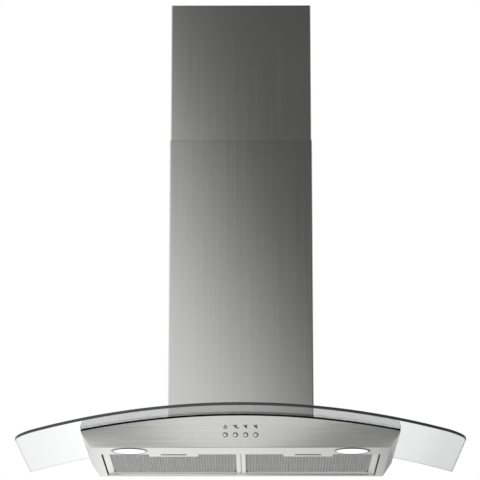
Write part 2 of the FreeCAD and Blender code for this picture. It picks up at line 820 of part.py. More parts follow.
def impeller():
    front = -fan_reach - impeller_width / 2
    back = -fan_reach + impeller_width / 2
    inner = impeller_radius - blade_depth
    angle = math.radians(blade_turn)
    tip = impeller_radius - blade_tip_gap
    spots = [(inner, 0), (inner + blade_depth * blade_camber, angle / 2), (tip, angle)]
    points = [Vector(reach * math.cos(turn), front, reach * math.sin(turn)) for reach, turn in spots]
    hollow = [p + Vector(blade_thickness * math.sin(angle), 0, -blade_thickness) for p in points]
    edges = [Part.Arc(*points).toShape(), Part.LineSegment(points[2], hollow[2]).toShape(),
             Part.Arc(*reversed(hollow)).toShape(), Part.LineSegment(hollow[0], points[0]).toShape()]
    blade = Part.Face(Part.Wire(edges)).extrude(Vector(0, impeller_width, 0))
    blades = []
    for i in range(blade_count):
        turned = blade.copy()
        turned.rotate(Vector(0, 0, 0), Vector(0, 1, 0), 360.0 * i / blade_count)
        blades.append(turned)
    middle = -fan_reach
    disc = rod(impeller_radius, (0, middle - impeller_plate / 2, 0), (0, middle + impeller_plate / 2, 0))
    hub = rod(hub_radius, (0, middle - hub_front, 0), (0, middle + hub_back, 0))
    band = impeller_radius - impeller_ring_width
    rings = [tube(impeller_radius, band, (0, y, 0), (0, y + impeller_ring_length, 0))
             for y in (front, back - impeller_ring_length)]
    wheel = fuse([disc, hub] + rings + blades).cut(rod(shaft_radius, (0, front, 0), (0, back, 0)))
    wheel.translate(Vector(fan_offset, 0, fan_height))
    return wheel


motor_front = -fan_reach + motor_front_gap
motor_back = -fan_reach + scroll_width / 2 + 2 * motor_bush_height


def motor_shaft():
    return rod(shaft_radius, fan_axis(-fan_reach - shaft_nose), fan_axis(motor_back - shaft_end_gap))


def bush_turns():
    return [90 + 360 / motor_bush_count * i for i in range(motor_bush_count)]


def motor():
    can = rod(motor_radius, fan_axis(motor_front), fan_axis(motor_back))
    rims = [e for e in can.Edges if len(e.Vertexes) < 2]
    can = can.makeFillet(motor_edge_round, rims)
    lugs = []
    for turn in bush_turns():
        lug = box(0, motor_lug_reach, motor_back - motor_bush_height, motor_back,
                  -motor_lug_width / 2, motor_lug_width / 2)
        lug.rotate(Vector(0, 0, 0), Vector(0, 1, 0), -turn)
        lug.translate(Vector(fan_offset, 0, fan_height))
        lugs.append(lug)
    bore = rod(shaft_radius + seat_clearance, fan_axis(motor_front - margin), fan_axis(motor_back + margin))
    return fuse([can] + lugs).cut(bore)


def motor_bushes():
    plate = -fan_reach + scroll_width / 2
    reach = motor_lug_reach - motor_bush_radius
    bushes = []
    for turn in bush_turns():
        x = fan_offset + reach * math.cos(math.radians(turn))
        z = fan_height + reach * math.sin(math.radians(turn))
        bushes.append(rod(motor_bush_radius, (x, plate, z), (x, plate + motor_bush_height, z)))
    return Part.Compound(bushes)


def capacitor():
    wall = -airbox_half + airbox_sheet
    back = -airbox_sheet - capacitor_back_gap
    block = box(wall, wall + capacitor_depth, back - capacitor_width, back,
                capacitor_low, capacitor_low + capacitor_height)
    return round_uprights(block, capacitor_corner)


# ---------------------------------------------------------------- outlet and damper
collar_inner = collar_radius - collar_wall
damper_level = airbox_top + damper_height


def outlet_collar():
    low = duct_axis(airbox_top)
    spigot = tube(collar_radius, collar_inner, low, duct_axis(airbox_top + collar_height))
    flange = tube(collar_radius + collar_flange, collar_inner, low, duct_axis(airbox_top + collar_wall))
    stop_top = damper_level - flap_thickness / 2 - stop_gap
    ledge = tube(collar_radius - collar_skin, collar_inner - stop_depth, duct_axis(stop_top - stop_depth),
                 duct_axis(stop_top))
    front = -fan_reach - stop_width / 2
    stops = ledge.common(box(-collar_radius, collar_radius, front, front + stop_width, 0, stop_top))
    collar = fuse([spigot, flange] + stops.Solids)
    reach = collar_radius + margin
    hole = spindle_radius + screw_hole_gap
    return collar.cut(rod(hole, (0, -fan_reach - reach, damper_level), (0, -fan_reach + reach, damper_level)))


def damper_spindle():
    reach = collar_radius - collar_skin / 2
    return rod(spindle_radius, (0, -fan_reach - reach, damper_level), (0, -fan_reach + reach, damper_level))


def damper_flap(side):
    """A half-round flap; the two flaps' knuckles lie one behind the other on the spindle."""
    radius = collar_inner - damper_gap
    start = side * (knuckle_radius + flap_gap)
    half = flap_thickness / 2
    disc = rod(radius, duct_axis(damper_level - half), duct_axis(damper_level + half))
    ends = sorted((start, side * radius))
    plate = disc.common(box(*ends, -fan_reach - radius, -fan_reach + radius, 0, airbox_top + collar_height))
    pair = 2 * knuckle_length + knuckle_gap
    shift = 0 if side > 0 else pair - knuckle_length
    knuckles = []
    for i in range(knuckle_count):
        low = -fan_reach + (i - (knuckle_count - 1) / 2) * knuckle_pitch - pair / 2 + shift
        high = low + knuckle_length
        knuckles.append(rod(knuckle_radius, (0, low, damper_level), (0, high, damper_level)))
        knuckles.append(box(*sorted((0, start + side)), low, high, damper_level - half, damper_level + half))
    flap = fuse([plate] + knuckles)
    bore = spindle_radius + seat_clearance
    return flap.cut(rod(bore, (0, -fan_reach - radius, damper_level), (0, -fan_reach + radius, damper_level)))


# ---------------------------------------------------------------- mains inlet
terminal_right = airbox_half - terminal_side_gap
terminal_left = terminal_right - terminal_width
terminal_front = -airbox_reach + terminal_front_gap
terminal_back = terminal_front + terminal_length
terminal_top = airbox_top + terminal_height


def gland_axis(y):
    """The point of the cable's axis at depth y."""
    return (terminal_left + terminal_right) / 2, y, (airbox_top + terminal_top) / 2


def terminal_box():
    wall = terminal_wall
    block = box(terminal_left, terminal_right, terminal_front, terminal_back, airbox_top, terminal_top)
    room = box(terminal_left + wall, terminal_right - wall, terminal_front + wall, terminal_back - wall,
               airbox_top + wall, terminal_top + 1)
    hole = rod(gland_thread_radius, gland_axis(terminal_back - 2 * wall), gland_axis(terminal_back + 1))
    return block.cut(room).cut(hole)


def terminal_box_lid():
    top = terminal_top + terminal_wall
    lid = box(terminal_left, terminal_right, terminal_front, terminal_back, terminal_top, top)
    rim = [e for e in lid.Edges if abs(e.CenterOfMass.z - top) < 0.01]
    return lid.makeChamfer(lid_edge, rim)


def cable_gland():
    back = terminal_back
    inner = back - gland_thread_length
    nut = rod(gland_radius, gland_axis(back), gland_axis(back + gland_nut_length))
    neck = rod(gland_neck_radius, gland_axis(back), gland_axis(back + gland_length))
    thread = rod(gland_thread_radius - screw_hole_gap, gland_axis(inner), gland_axis(back + 1))
    bore = rod(cable_radius, gland_axis(inner - 1), gland_axis(back + gland_length + 1))
    return fuse([nut, neck, thread]).cut(bore)


# ---------------------------------------------------------------- chimney
def cover(inset, low, high):
    """A folded cover, open at the back between two flanges; inset is its distance inside the lower cover."""
    half = chimney_half - inset
    front = -chimney_reach + inset
    back = -inset
    sheet = chimney_sheet
    outer = box(-half, half, front, back, low, high)
    inner = box(-half + sheet, half - sheet, front + sheet, back - sheet, low - 1, high + 1)
    opening = half - back_flange
    return outer.cut(inner).cut(box(-opening, opening, back - 2 * sheet, back + 1, low - 1, high + 1))


def lower_chimney():
    shell = cover(0, 0, chimney_break)
    foot = glass_top_radius + seat_clearance
    shell = shell.cut(below_arch(foot, chimney_half + margin, -chimney_reach - margin, 1))
    return shell.cut(side_hole(-clip_reach, clip_height))


def upper_chimney():
    shell = cover(upper_inset, chimney_top - upper_length, chimney_top)
    return shell.cut(side_hole(bracket_screw_y, bracket_height_centre))


def chimney_clips():
    """Two channels that carry the lower cover on the sides of the air box."""
    sheet = bracket_sheet
    front = -clip_reach - clip_depth / 2
    back = -clip_reach + clip_depth / 2
    low = clip_height - clip_length / 2
    outer = box(airbox_half, chimney_inner, front, back, low, low + clip_length)
    room = box(airbox_half + sheet, chimney_inner - sheet, front - 1, back - sheet, 0, airbox_top)
    return both_sides(outer.cut(room).cut(side_hole(-clip_reach, clip_height)))


def lower_chimney_screws():
    return Part.Compound([screw(side * chimney_half, -clip_reach, clip_height, -side) for side in (-1, 1)])


def ceiling_bracket():
    sheet = bracket_sheet
    low = chimney_top - bracket_height
    wall_half = upper_half - back_flange - bracket_gap
    strip = box(-wall_half, wall_half, -sheet, 0, low, chimney_top)
    start = wall_half - sheet
    step = -bracket_step + sheet
    ear = bracket_screw_y - bracket_ear / 2
    wing = fuse([box(start, wall_half, -bracket_step, 0, low, chimney_top),
                 box(start, upper_inner, -bracket_step, step, low, chimney_top),
                 box(upper_inner - sheet, upper_inner, ear, step, low, chimney_top)])
    bracket = fuse([strip, wing, mirrored(wing)])
    for x in wall_screw_places:
        bracket = bracket.cut(wall_hole(wall_hole_radius, x, bracket_height_centre))
    return bracket.cut(side_hole(bracket_screw_y, bracket_height_centre))


def chimney_screws():
    return Part.Compound([screw(side * upper_half, bracket_screw_y, bracket_height_centre, -side)
                          for side in (-1, 1)])


# ---------------------------------------------------------------- export
def pieces():
    yield "canopy_body", canopy_body()
    yield "canopy_top_plate", canopy_top_plate()
    yield "inner_frame", inner_frame()
    yield "glass_gasket", glass_gasket()
    yield "glass_canopy", glass_canopy()
    yield "glass_screws", glass_screws()
    yield "glass_washers", glass_washers()
    yield "airbox_shell", airbox_shell()
    yield "airbox_front_cover", airbox_front_cover()
    yield "cover_screws", cover_screws()
    yield "scroll_front", scroll_half(-1)
    yield "scroll_back", scroll_half(1)
    yield "impeller", impeller()
    yield "motor_shaft", motor_shaft()
    yield "motor", motor()
    yield "motor_bushes", motor_bushes()
    yield "capacitor", capacitor()
    yield "outlet_collar", outlet_collar()
    yield "damper_spindle", damper_spindle()
    yield "terminal_box", terminal_box()
    yield "terminal_box_lid", terminal_box_lid()
    yield "cable_gland", cable_gland()
    yield "lower_chimney", lower_chimney()
    yield "chimney_clips", chimney_clips()
    yield "lower_chimney_screws", lower_chimney_screws()
    yield "upper_chimney", upper_chimney()
    yield "ceiling_bracket", ceiling_bracket()
    yield "chimney_screws", chimney_screws()
    yield "button_guide", button_guide()
    yield "switch_module", switch_module()
    yield "lamp_driver", lamp_driver()
    button_names = ["button_light"] + ["button_speed_%d" % i for i in range(1, button_count)]
    for name, x in zip(button_names, button_places):
        yield name, button(x)
    yield "damper_flap_left", damper_flap(-1)
    yield "damper_flap_right", damper_flap(1)
    for make in (lamp_ring, lamp_lens, lamp_housing, lamp_led,
                 filter_frame, filter_mesh, filter_latch_plate, filter_latch):
        right = make()
        yield make.__name__ + "_right", right
        yield make.__name__ + "_left", mirrored(right)


os.makedirs("parts", exist_ok=True)
for node_name, node_shape in pieces():
    if not node_shape.isValid():
        print("not valid:", node_name)
    place(node_shape).exportStep("parts/%s.step" % node_name)
    print("%-24s %2d solids %12.1f mm3" % (node_name, len(node_shape.Solids), node_shape.Volume))
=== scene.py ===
"""Looks of the curved glass wall hood: finishes, detailed pieces, light and camera.

Everything is in metres, in the part's own frame: X to the right, the wall at Y = 0, Z up, and the
underside of the hood 0.2 m below the origin.
"""
import json
import math
from functools import partial

import bmesh
import bpy
from bpy.props import FloatProperty, FloatVectorProperty, PointerProperty
from mathutils import Matrix, Vector

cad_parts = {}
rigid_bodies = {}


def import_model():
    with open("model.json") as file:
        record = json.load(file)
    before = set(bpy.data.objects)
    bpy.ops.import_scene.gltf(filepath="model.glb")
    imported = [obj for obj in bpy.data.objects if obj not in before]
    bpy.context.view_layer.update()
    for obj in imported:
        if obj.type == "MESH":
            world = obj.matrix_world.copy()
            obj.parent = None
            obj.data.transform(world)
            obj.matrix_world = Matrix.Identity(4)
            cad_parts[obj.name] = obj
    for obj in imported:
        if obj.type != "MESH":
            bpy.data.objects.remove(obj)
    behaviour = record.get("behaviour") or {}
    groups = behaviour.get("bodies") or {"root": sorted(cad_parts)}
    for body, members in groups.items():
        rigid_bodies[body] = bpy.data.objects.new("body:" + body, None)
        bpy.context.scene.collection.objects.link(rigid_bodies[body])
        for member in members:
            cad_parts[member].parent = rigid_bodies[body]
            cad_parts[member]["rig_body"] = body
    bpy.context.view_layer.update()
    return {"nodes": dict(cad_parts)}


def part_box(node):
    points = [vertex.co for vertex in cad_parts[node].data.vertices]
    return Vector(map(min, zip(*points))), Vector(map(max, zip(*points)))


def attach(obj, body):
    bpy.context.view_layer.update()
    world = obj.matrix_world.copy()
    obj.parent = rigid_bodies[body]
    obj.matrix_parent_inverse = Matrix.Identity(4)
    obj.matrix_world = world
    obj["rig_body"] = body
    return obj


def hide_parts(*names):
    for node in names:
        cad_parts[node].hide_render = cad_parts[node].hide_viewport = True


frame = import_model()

bl_info = {
    "name": "Curved Glass Hood",
    "version": (1, 0, 0),
    "blender": (4, 5, 0),
    "location": "View3D > Sidebar > Hood",
    "description": "Dresses a curved glass wall hood with its finishes, detailed pieces, light and camera",
    "category": "Add Mesh",
}

NODES = frame["nodes"]
TRAY_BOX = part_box("canopy_body")
UNDERSIDE = TRAY_BOX[0].z
GLASS_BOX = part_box("glass_canopy")
LOWER_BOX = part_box("lower_chimney")
UPPER_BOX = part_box("upper_chimney")

# Half the width of the front panel at its foot, and how much more it is at the seal.
PANEL_HALF = 0.3025
PANEL_FLARE = 0.0192
SIDES = ("left", "right")
# Edges between faces that meet at more than this stay sharp.
SHARP = math.radians(30)


# ---------------------------------------------------------------- node trees
class Value:
    """A socket of a node tree; arithmetic on it adds Math nodes."""

    def __init__(self, graph, socket):
        self.graph = graph
        self.socket = socket

    def other(self, out):
        """Another output of the same node."""
        return Value(self.graph, self.socket.node.outputs[out])

    def math(self, operation, *others):
        inputs = dict(enumerate((self,) + others))
        return self.graph.node("ShaderNodeMath", {"operation": operation}, inputs)

    def __add__(self, other):
        return self.math("ADD", other)

    def __sub__(self, other):
        return self.math("SUBTRACT", other)

    def __mul__(self, other):
        return self.math("MULTIPLY", other)

    def __truediv__(self, other):
        return self.math("DIVIDE", other)

    def __rsub__(self, other):
        return self.graph.node("ShaderNodeMath", {"operation": "SUBTRACT"}, {0: other, 1: self})

    def __rtruediv__(self, other):
        return self.graph.node("ShaderNodeMath", {"operation": "DIVIDE"}, {0: other, 1: self})

    __radd__ = __add__
    __rmul__ = __mul__

    def ease(self, start, end, low=0.0, high=1.0):
        """A soft step from low at start to high at end."""
        settings = {"interpolation_type": "SMOOTHSTEP"}
        inputs = {"Value": self, "From Min": start, "From Max": end, "To Min": low, "To Max": high}
        return self.graph.node("ShaderNodeMapRange", settings, inputs)

    def window(self, start, full, fading, end):
        """1 from full to fading, and softly down to 0 at start and at end."""
        return self.ease(start, full) * self.ease(end, fading)

    def steps(self, *stops):
        """A piecewise straight line through (position, value) stops."""
        first, last = stops[0][0], stops[-1][0]
        share = (self - first) / (last - first)
        ramp = [((place - first) / (last - first), value) for place, value in stops]
        return self.graph.node("ShaderNodeValToRGB", {"stops": ramp}, {"Fac": share})


class Graph:
    """A node tree with one method for any node."""

    def __init__(self, tree):
        self.tree = tree

    def node(self, kind, settings=None, inputs=None, out=0):
        """Adds a node: its settings come first, then the values or links of its sockets."""
        made = self.tree.nodes.new(kind)
        for key, value in (settings or {}).items():
            if key == "stops":
                self.set_stops(made.color_ramp, value)
            else:
                setattr(made, key, value)
        for key, value in (inputs or {}).items():
            for source in value if isinstance(value, list) else [value]:
                if isinstance(source, Value):
                    self.tree.links.new(source.socket, made.inputs[key])
                else:
                    made.inputs[key].default_value = source
        return Value(self, made.outputs[out]) if made.outputs else None

    def vector(self, x=0.0, y=0.0, z=0.0):
        return self.node("ShaderNodeCombineXYZ", inputs={0: x, 1: y, 2: z})

    def split(self, vector):
        parts = self.node("ShaderNodeSeparateXYZ", inputs={0: vector})
        return [parts.other(axis) for axis in range(3)]

    @staticmethod
    def set_stops(ramp, stops):
        while len(ramp.elements) < len(stops):
            ramp.elements.new(1.0)
        for element, (place, value) in zip(ramp.elements, stops):
            element.position = place
            element.color = value if isinstance(value, tuple) else (value, value, value, 1.0)


class Finish(Graph):
    """One material, built on Object coordinates."""

    def __init__(self, name):
        self.material = bpy.data.materials.new(name)
        self.material.use_nodes = True
        self.material.node_tree.nodes.clear()
        super().__init__(self.material.node_tree)

    def place(self):
        return self.node("ShaderNodeTexCoord", out="Object")

    def stretched(self, scale):
        """Object coordinates times one number, or times a number for each axis."""
        scale = scale if isinstance(scale, tuple) else (scale,) * 3
        return self.node("ShaderNodeVectorMath", {"operation": "MULTIPLY"}, {0: self.place(), 1: scale})

    def noise(self, scale, detail=2.0, roughness=0.5):
        """Noise whose grains are 1 / scale metres along each axis."""
        inputs = {"Vector": self.stretched(scale), "Scale": 1.0, "Detail": detail, "Roughness": roughness}
        return self.node("ShaderNodeTexNoise", {"noise_dimensions": "3D"}, inputs)

    def cells(self, scale, feature="F1", out="Distance"):
        inputs = {"Vector": self.stretched(scale), "Scale": 1.0, "Randomness": 1.0}
        return self.node("ShaderNodeTexVoronoi", {"feature": feature}, inputs, out)

    def tint(self, share, dark, light):
        inputs = {0: share, 6: (*dark, 1.0), 7: (*light, 1.0)}
        return self.node("ShaderNodeMix", {"data_type": "RGBA"}, inputs, 2)

    def relief(self, height, depth, strength):
        inputs = {"Height": height, "Distance": depth, "Strength": strength}
        return self.node("ShaderNodeBump", inputs=inputs)

    def surface(self, **sockets):
        """The principled shader with sockets named by their labels, written with underscores."""
        inputs = {key.replace("_", " "): value for key, value in sockets.items()}
        shader = self.node("ShaderNodeBsdfPrincipled", inputs=inputs)
        return self.out(shader)

    def out(self, shader):
        self.node("ShaderNodeOutputMaterial", inputs={"Surface": shader})
        return self.material


class Recipe(Graph):
    """A Geometry Nodes tree with named sizes, turned into a plain mesh when it is used."""

    def __init__(self, name, **sizes):
        tree = bpy.data.node_groups.new(name, "GeometryNodeTree")
        super().__init__(tree)
        tree.interface.new_socket("Shape", in_out="INPUT", socket_type="NodeSocketGeometry")
        tree.interface.new_socket("Shape", in_out="OUTPUT", socket_type="NodeSocketGeometry")
        self.sizes = sizes
        self.sockets = {}
        for label, value in sizes.items():
            kind = "NodeSocketInt" if isinstance(value, int) else "NodeSocketFloat"
            socket = tree.interface.new_socket(label, in_out="INPUT", socket_type=kind)
            self.sockets[label] = socket.identifier
        self.start = tree.nodes.new("NodeGroupInput")

    def __getitem__(self, label):
        return Value(self, self.start.outputs[label])

    def done(self, shape, material):
        shape = self.node("GeometryNodeRealizeInstances", inputs={0: shape})
        shape = self.node("GeometryNodeSetMaterial", inputs={"Geometry": shape, "Material": material})
        self.node("NodeGroupOutput", inputs={"Shape": shape})

    def use(self, name, base):
        """Runs the tree on a base mesh and gives the result as a plain mesh."""
        holder = in_scene(name + "_base", base)
        modifier = holder.modifiers.new("recipe", "NODES")
        modifier.node_group = self.tree
        for label, value in self.sizes.items():
            modifier[self.sockets[label]] = value
        result = holder.evaluated_get(bpy.context.evaluated_depsgraph_get())
        mesh = bpy.data.meshes.new_from_object(result)
        mesh.name = name
        bpy.data.objects.remove(holder)
        return mesh


# ---------------------------------------------------------------- making pieces
def in_scene(name, data):
    """A new object, linked to the scene."""
    made = bpy.data.objects.new(name, data)
    bpy.context.scene.collection.objects.link(made)
    return made


def mesh_of(name, points, edges=(), faces=()):
    mesh = bpy.data.meshes.new(name)
    mesh.from_pydata(points, edges, faces)
    return mesh


def mesh_from(work, name, *materials, outwards=True):
    """Ends the work on a mesh: turns its faces outwards and gives it its materials."""
    if outwards:
        bmesh.ops.recalc_face_normals(work, faces=work.faces)
    mesh = bpy.data.meshes.new(name)
    work.to_mesh(mesh)
    work.free()
    for material in materials:
        mesh.materials.append(material)
    return mesh


def add_piece(name, mesh, body, replaced=(), even=True):
    """Puts a finished mesh in the scene as a piece that rides on a body."""
    piece = in_scene(name, mesh)
    if even:
        mesh.shade_smooth()
        mesh.set_sharp_from_angle(angle=SHARP)
        piece.modifiers.new("even shading", "WEIGHTED_NORMAL").keep_sharp = True
    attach(piece, body)
    if replaced:
        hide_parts(*replaced)


def shade_by_rule(mesh, sharp, rule):
    """Shades a mesh by its edges, sharp past an angle in degrees, and by a rule the faces it knows."""
    mesh.shade_smooth()
    mesh.set_sharp_from_angle(angle=math.radians(sharp))
    normals = [Vector(corner.vector) for corner in mesh.corner_normals]
    for face in mesh.polygons:
        direction = rule(face)
        if direction:
            for corner in face.loop_indices:
                normals[corner] = direction(mesh.vertices[mesh.loops[corner].vertex_index].co)
    mesh.normals_split_custom_set(normals)


def body_of(node):
    """The body that a CAD node rides on."""
    return NODES[node]["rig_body"]


def dress(material, *names):
    """Gives CAD pieces a finish through their material slots."""
    for name in names:
        for slot in NODES[name].material_slots:
            slot.material = material


def settings():
    """The hood's sizes, finishes and stage, as the scene holds them."""
    return bpy.context.scene.hood_sizes, bpy.context.scene.hood_finishes, bpy.context.scene.hood_stage


# ---------------------------------------------------------------- settings
Length = partial(FloatProperty, unit="LENGTH")
Angle = partial(FloatProperty, subtype="ANGLE")
Share = partial(FloatProperty, subtype="FACTOR", min=0.0, max=1.0)
Colour = partial(FloatVectorProperty, subtype="COLOR", min=0.0, max=1.0)


class HoodSizes(bpy.types.PropertyGroup):
    """Sizes of the hood's detailed pieces."""

    arch_radius: Length(name="Glass arch radius", description="Radius of the glass's underside", default=1.65)
    glass_thickness: Length(name="Glass thickness", description="Thickness of the glass sheet", default=0.006)
    glass_bow: Length(name="Glass bow", description="How far the front edge falls back at its ends",
                      default=0.014)
    glass_corner: Length(name="Glass corner radius", description="Radius of the two front corners",
                         default=0.042)
    glass_arris: Length(name="Glass arris", description="Width of the ground edge's bevel", default=0.0009)
    seal_height: Length(name="Seal height", description="Height of the seal under the glass", default=0.005)
    seal_cover: Length(name="Seal cover", description="How much of the seal the tray's edge hides",
                       default=0.001)
    fold_radius: Length(name="Fold radius", description="Outside radius of the folded chimney covers",
                        default=0.002)
    cover_sheet: Length(name="Cover sheet", description="Thickness of the chimney's sheet", default=0.0008)
    cover_hem: Length(name="Cover hem", description="Height of the hem along the covers' top edge",
                      default=0.0026)
    cover_flange: Length(name="Cover flange", description="Width of the flanges on the wall", default=0.015)
    strand_pitch: Length(name="Strand pitch", description="Distance between the filter mesh's strands",
                         default=0.0026)
    strand_step: Length(name="Strand step", description="Half the length of a cell of the filter mesh",
                        default=0.0031)
    strand_width: Length(name="Strand width", description="Width of a strand of the filter mesh",
                         default=0.0009)
    icon_size: Length(name="Icon size", description="Height of the pictograms over the buttons",
                      default=0.0085)
    icon_rise: Length(name="Icon rise", description="Height of the pictograms above the underside",
                      default=0.0395)
    button_rise: Length(name="Button rise", description="Height of the buttons above the underside",
                        default=0.024)
    panel_crown: Length(name="Panel height", description="Height of the front panel in its middle",
                        default=0.0587)
    panel_lean: Angle(name="Panel lean", description="How far the front panel leans from upright",
                      default=math.radians(29.3))


class HoodFinishes(bpy.types.PropertyGroup):
    """Colours and grain of the hood's materials."""

    steel: Colour(name="Steel", description="Colour of the brushed steel", default=(0.66, 0.66, 0.65))
    steel_roughness: Share(name="Steel roughness", description="How far the steel blurs what it mirrors",
                           default=0.24)
    glass: Colour(name="Glass", description="Tint of the glass sheet", default=(0.965, 0.972, 0.977))
    # Near black for the front band of the sheet's ground edge: painted shade, not a colour of the glass
    # itself.
    painted_shade_edge: Colour(name="Glass edge", description="Tint of the sheet's ground edge",
                       default=(0.022, 0.024, 0.024))
    lens_glow: FloatProperty(name="Lamp glow", description="Strength of the lit lamps", default=0.45, min=0.0)


class HoodStage(bpy.types.PropertyGroup):
    """Camera, floor and light."""

    camera_place: FloatVectorProperty(name="Camera", description="Place of the camera", subtype="TRANSLATION",
                                      unit="LENGTH", default=(0.0255, -5.9885, -1.1446))
    camera_pitch: Angle(name="Pitch", description="How far the camera looks up", default=math.radians(13.76))
    camera_yaw: Angle(name="Yaw", description="How far the camera looks to the left",
                      default=math.radians(0.273))
    lens: FloatProperty(name="Lens", description="Focal length in millimetres", default=211.33, min=1.0)
    floor_height: Length(name="Floor height", description="Height of the floor", default=-1.75)
    floor_radius: Length(name="Floor radius", description="Radius of the floor", default=60.0)
    sky: FloatProperty(name="Studio level", description="Brightness of the studio around the hood",
                       default=0.85, min=0.0)
    lamp_power: FloatProperty(name="Soft box power", description="Power of the soft box overhead",
                              default=60.0, min=0.0, unit="POWER")


# ---------------------------------------------------------------- finishes
def shade(colour, factor):
    """A colour made darker or lighter, up to white."""
    return tuple(min(c * factor, 1.0) for c in colour)


def brushed_steel(name, grain, coarse, streak, tone=1.0):
    """Stainless sheet with fine brush lines; grain and coarse are the lines' scales along each axis."""
    finishes = settings()[1]
    finish = Finish(name)
    fine = finish.noise(grain, detail=3.0, roughness=0.6)
    lines = finish.noise(coarse)
    share = fine * 0.45 + lines * 0.4 + finish.noise(5.0, detail=1.0) * 0.15
    dark, light = (shade(finishes.steel, tone * part) for part in (1 - streak, 1 + streak))
    rough = finishes.steel_roughness
    return finish.surface(Base_Color=finish.tint(share, dark, light), Metallic=1.0,
                          Roughness=share.ease(0.2, 0.8, rough - 0.02, rough + 0.03),
                          Normal=finish.relief(fine * 0.7 + lines * 0.3, 0.000006, 0.3))


def plain_metal(name, colour, roughness):
    """Plated or polished metal with faint handling marks."""
    finish = Finish(name)
    marks = finish.noise(160.0, detail=4.0, roughness=0.65)
    return finish.surface(Base_Color=finish.tint(marks, shade(colour, 0.94), colour), Metallic=1.0,
                          Roughness=marks.ease(0.25, 0.75, roughness * 0.85, roughness * 1.2),
                          Normal=finish.relief(marks, 0.00001, 0.4))


def galvanised_sheet():
    """Zinc coated sheet with its spangle."""
    finish = Finish("galvanised_sheet")
    flake = finish.node("ShaderNodeSeparateColor", inputs={0: finish.cells(95.0, out="Color")})
    share = flake * 0.75 + finish.noise(700.0) * 0.25
    colour = finish.tint(share, (0.50, 0.52, 0.54), (0.70, 0.72, 0.74))
    return finish.surface(Base_Color=colour, Metallic=0.85, Roughness=share.ease(0.0, 1.0, 0.34, 0.52),
                          Normal=finish.relief(share, 0.00001, 0.5))


def satin_aluminium(name, colour, grains):
    """Satin aluminium, brushed along the axis in which its grains are longest."""
    finish = Finish(name)
    grain = finish.noise(grains, detail=3.0)
    return finish.surface(Base_Color=finish.tint(grain, shade(colour, 0.94), colour), Metallic=1.0,
                          Roughness=grain.ease(0.2, 0.8, 0.30, 0.42),
                          Normal=finish.relief(grain, 0.000015, 0.5))


def mesh_pack():
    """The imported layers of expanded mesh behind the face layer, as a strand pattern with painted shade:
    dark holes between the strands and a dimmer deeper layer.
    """
    finish = Finish("mesh_pack")
    edges = {"feature": "DISTANCE_TO_EDGE"}
    # Strands bright and the holes between them painted dark as painted shade; the deeper layer's strands
    # reach only 0.7, painted shade of depth.
    near = finish.cells((330.0, 420.0, 420.0), **edges).ease(0.02, 0.12, 1.0, 0.0)
    deep_painted_shade = finish.cells((250.0, 330.0, 330.0), **edges).ease(0.02, 0.14, 0.7, 0.0)
    share = near.math("MAXIMUM", deep_painted_shade)
    colour = finish.tint(share, (0.30, 0.30, 0.30), (0.58, 0.58, 0.57))
    return finish.surface(Base_Color=colour, Metallic=1.0, Roughness=share.ease(0.0, 1.0, 0.7, 0.4),
                          Normal=finish.relief(share, 0.0006, 0.9))


def moulded_plastic(name, colour, roughness, metallic=0.0, sheen=0.5):
    """Moulded plastic with a fine eroded skin."""
    finish = Finish(name)
    skin = finish.noise(2600.0)
    cloud = finish.noise(30.0)
    return finish.surface(Base_Color=finish.tint(cloud, colour, shade(colour, 1.2)), Metallic=metallic,
                          Roughness=cloud.ease(0.2, 0.8, roughness - 0.06, roughness + 0.06),
                          Specular_IOR_Level=sheen, Normal=finish.relief(skin, 0.00002, 0.5))


def clear_glass():
    """The sheet's clear glass, with a faint smear in its tint."""
    glass = tuple(settings()[1].glass)
    finish = Finish("clear_glass")
    smear = finish.noise((9.0, 6.0, 6.0), detail=3.0)
    return finish.surface(Base_Color=finish.tint(smear, shade(glass, 0.985), glass), Roughness=0.0, IOR=1.5,
                          Transmission_Weight=1.0)


def ground_edge(name, edge):
    """The sheet's ground and polished edge in a flat colour of painted light: painted shade along the front,
    a painted highlight elsewhere.
    """
    finish = Finish(name)
    lines = finish.noise((40.0, 40.0, 900.0))
    light = tuple(c * 1.5 for c in edge)
    return finish.surface(Base_Color=finish.tint(lines, tuple(edge), light),
                          Roughness=lines.ease(0.2, 0.8, 0.12, 0.3), Coat_Weight=0.3)


def lamp_glass():
    """A frosted diffuser, lit from behind."""
    finish = Finish("lamp_glass")
    frost = finish.noise(1800.0)
    return finish.surface(Base_Color=finish.tint(frost, (0.9, 0.9, 0.89), (0.95, 0.95, 0.94)),
                          Roughness=0.35, Emission_Strength=settings()[1].lens_glow,
                          Emission_Color=finish.tint(frost, (0.97, 0.97, 0.96), (1.0, 1.0, 1.0)),
                          Normal=finish.relief(frost, 0.00001, 0.4))


def printed_ink():
    """Matt dark grey ink."""
    finish = Finish("printed_ink")
    grain = finish.noise(3000.0)
    return finish.surface(Base_Color=finish.tint(grain, (0.09, 0.09, 0.095), (0.13, 0.13, 0.135)),
                          Roughness=grain.ease(0.2, 0.8, 0.5, 0.65))


# ---------------------------------------------------------------- glass
def arch_height(x, radius):
    """Height over a place across of a layer of the arch; radius 0 gives the arch's centre."""
    sizes = settings()[0]
    centre = GLASS_BOX[1].z - sizes.glass_thickness - sizes.arch_radius
    return centre + math.sqrt(radius ** 2 - x ** 2)


def offset_loop(points, distance):
    """Moves a closed outline to its left by a distance, with mitred corners."""
    moved = []
    for before, here, after in zip([points[-1]] + points[:-1], points, points[1:] + points[:1]):
        first = (here - before).normalized()
        second = (after - here).normalized()
        normals = [Vector((-side.y, side.x)) for side in (first, second)]
        moved.append(here + (normals[0] + normals[1]) * distance / (1 + normals[0].dot(normals[1])))
    return moved


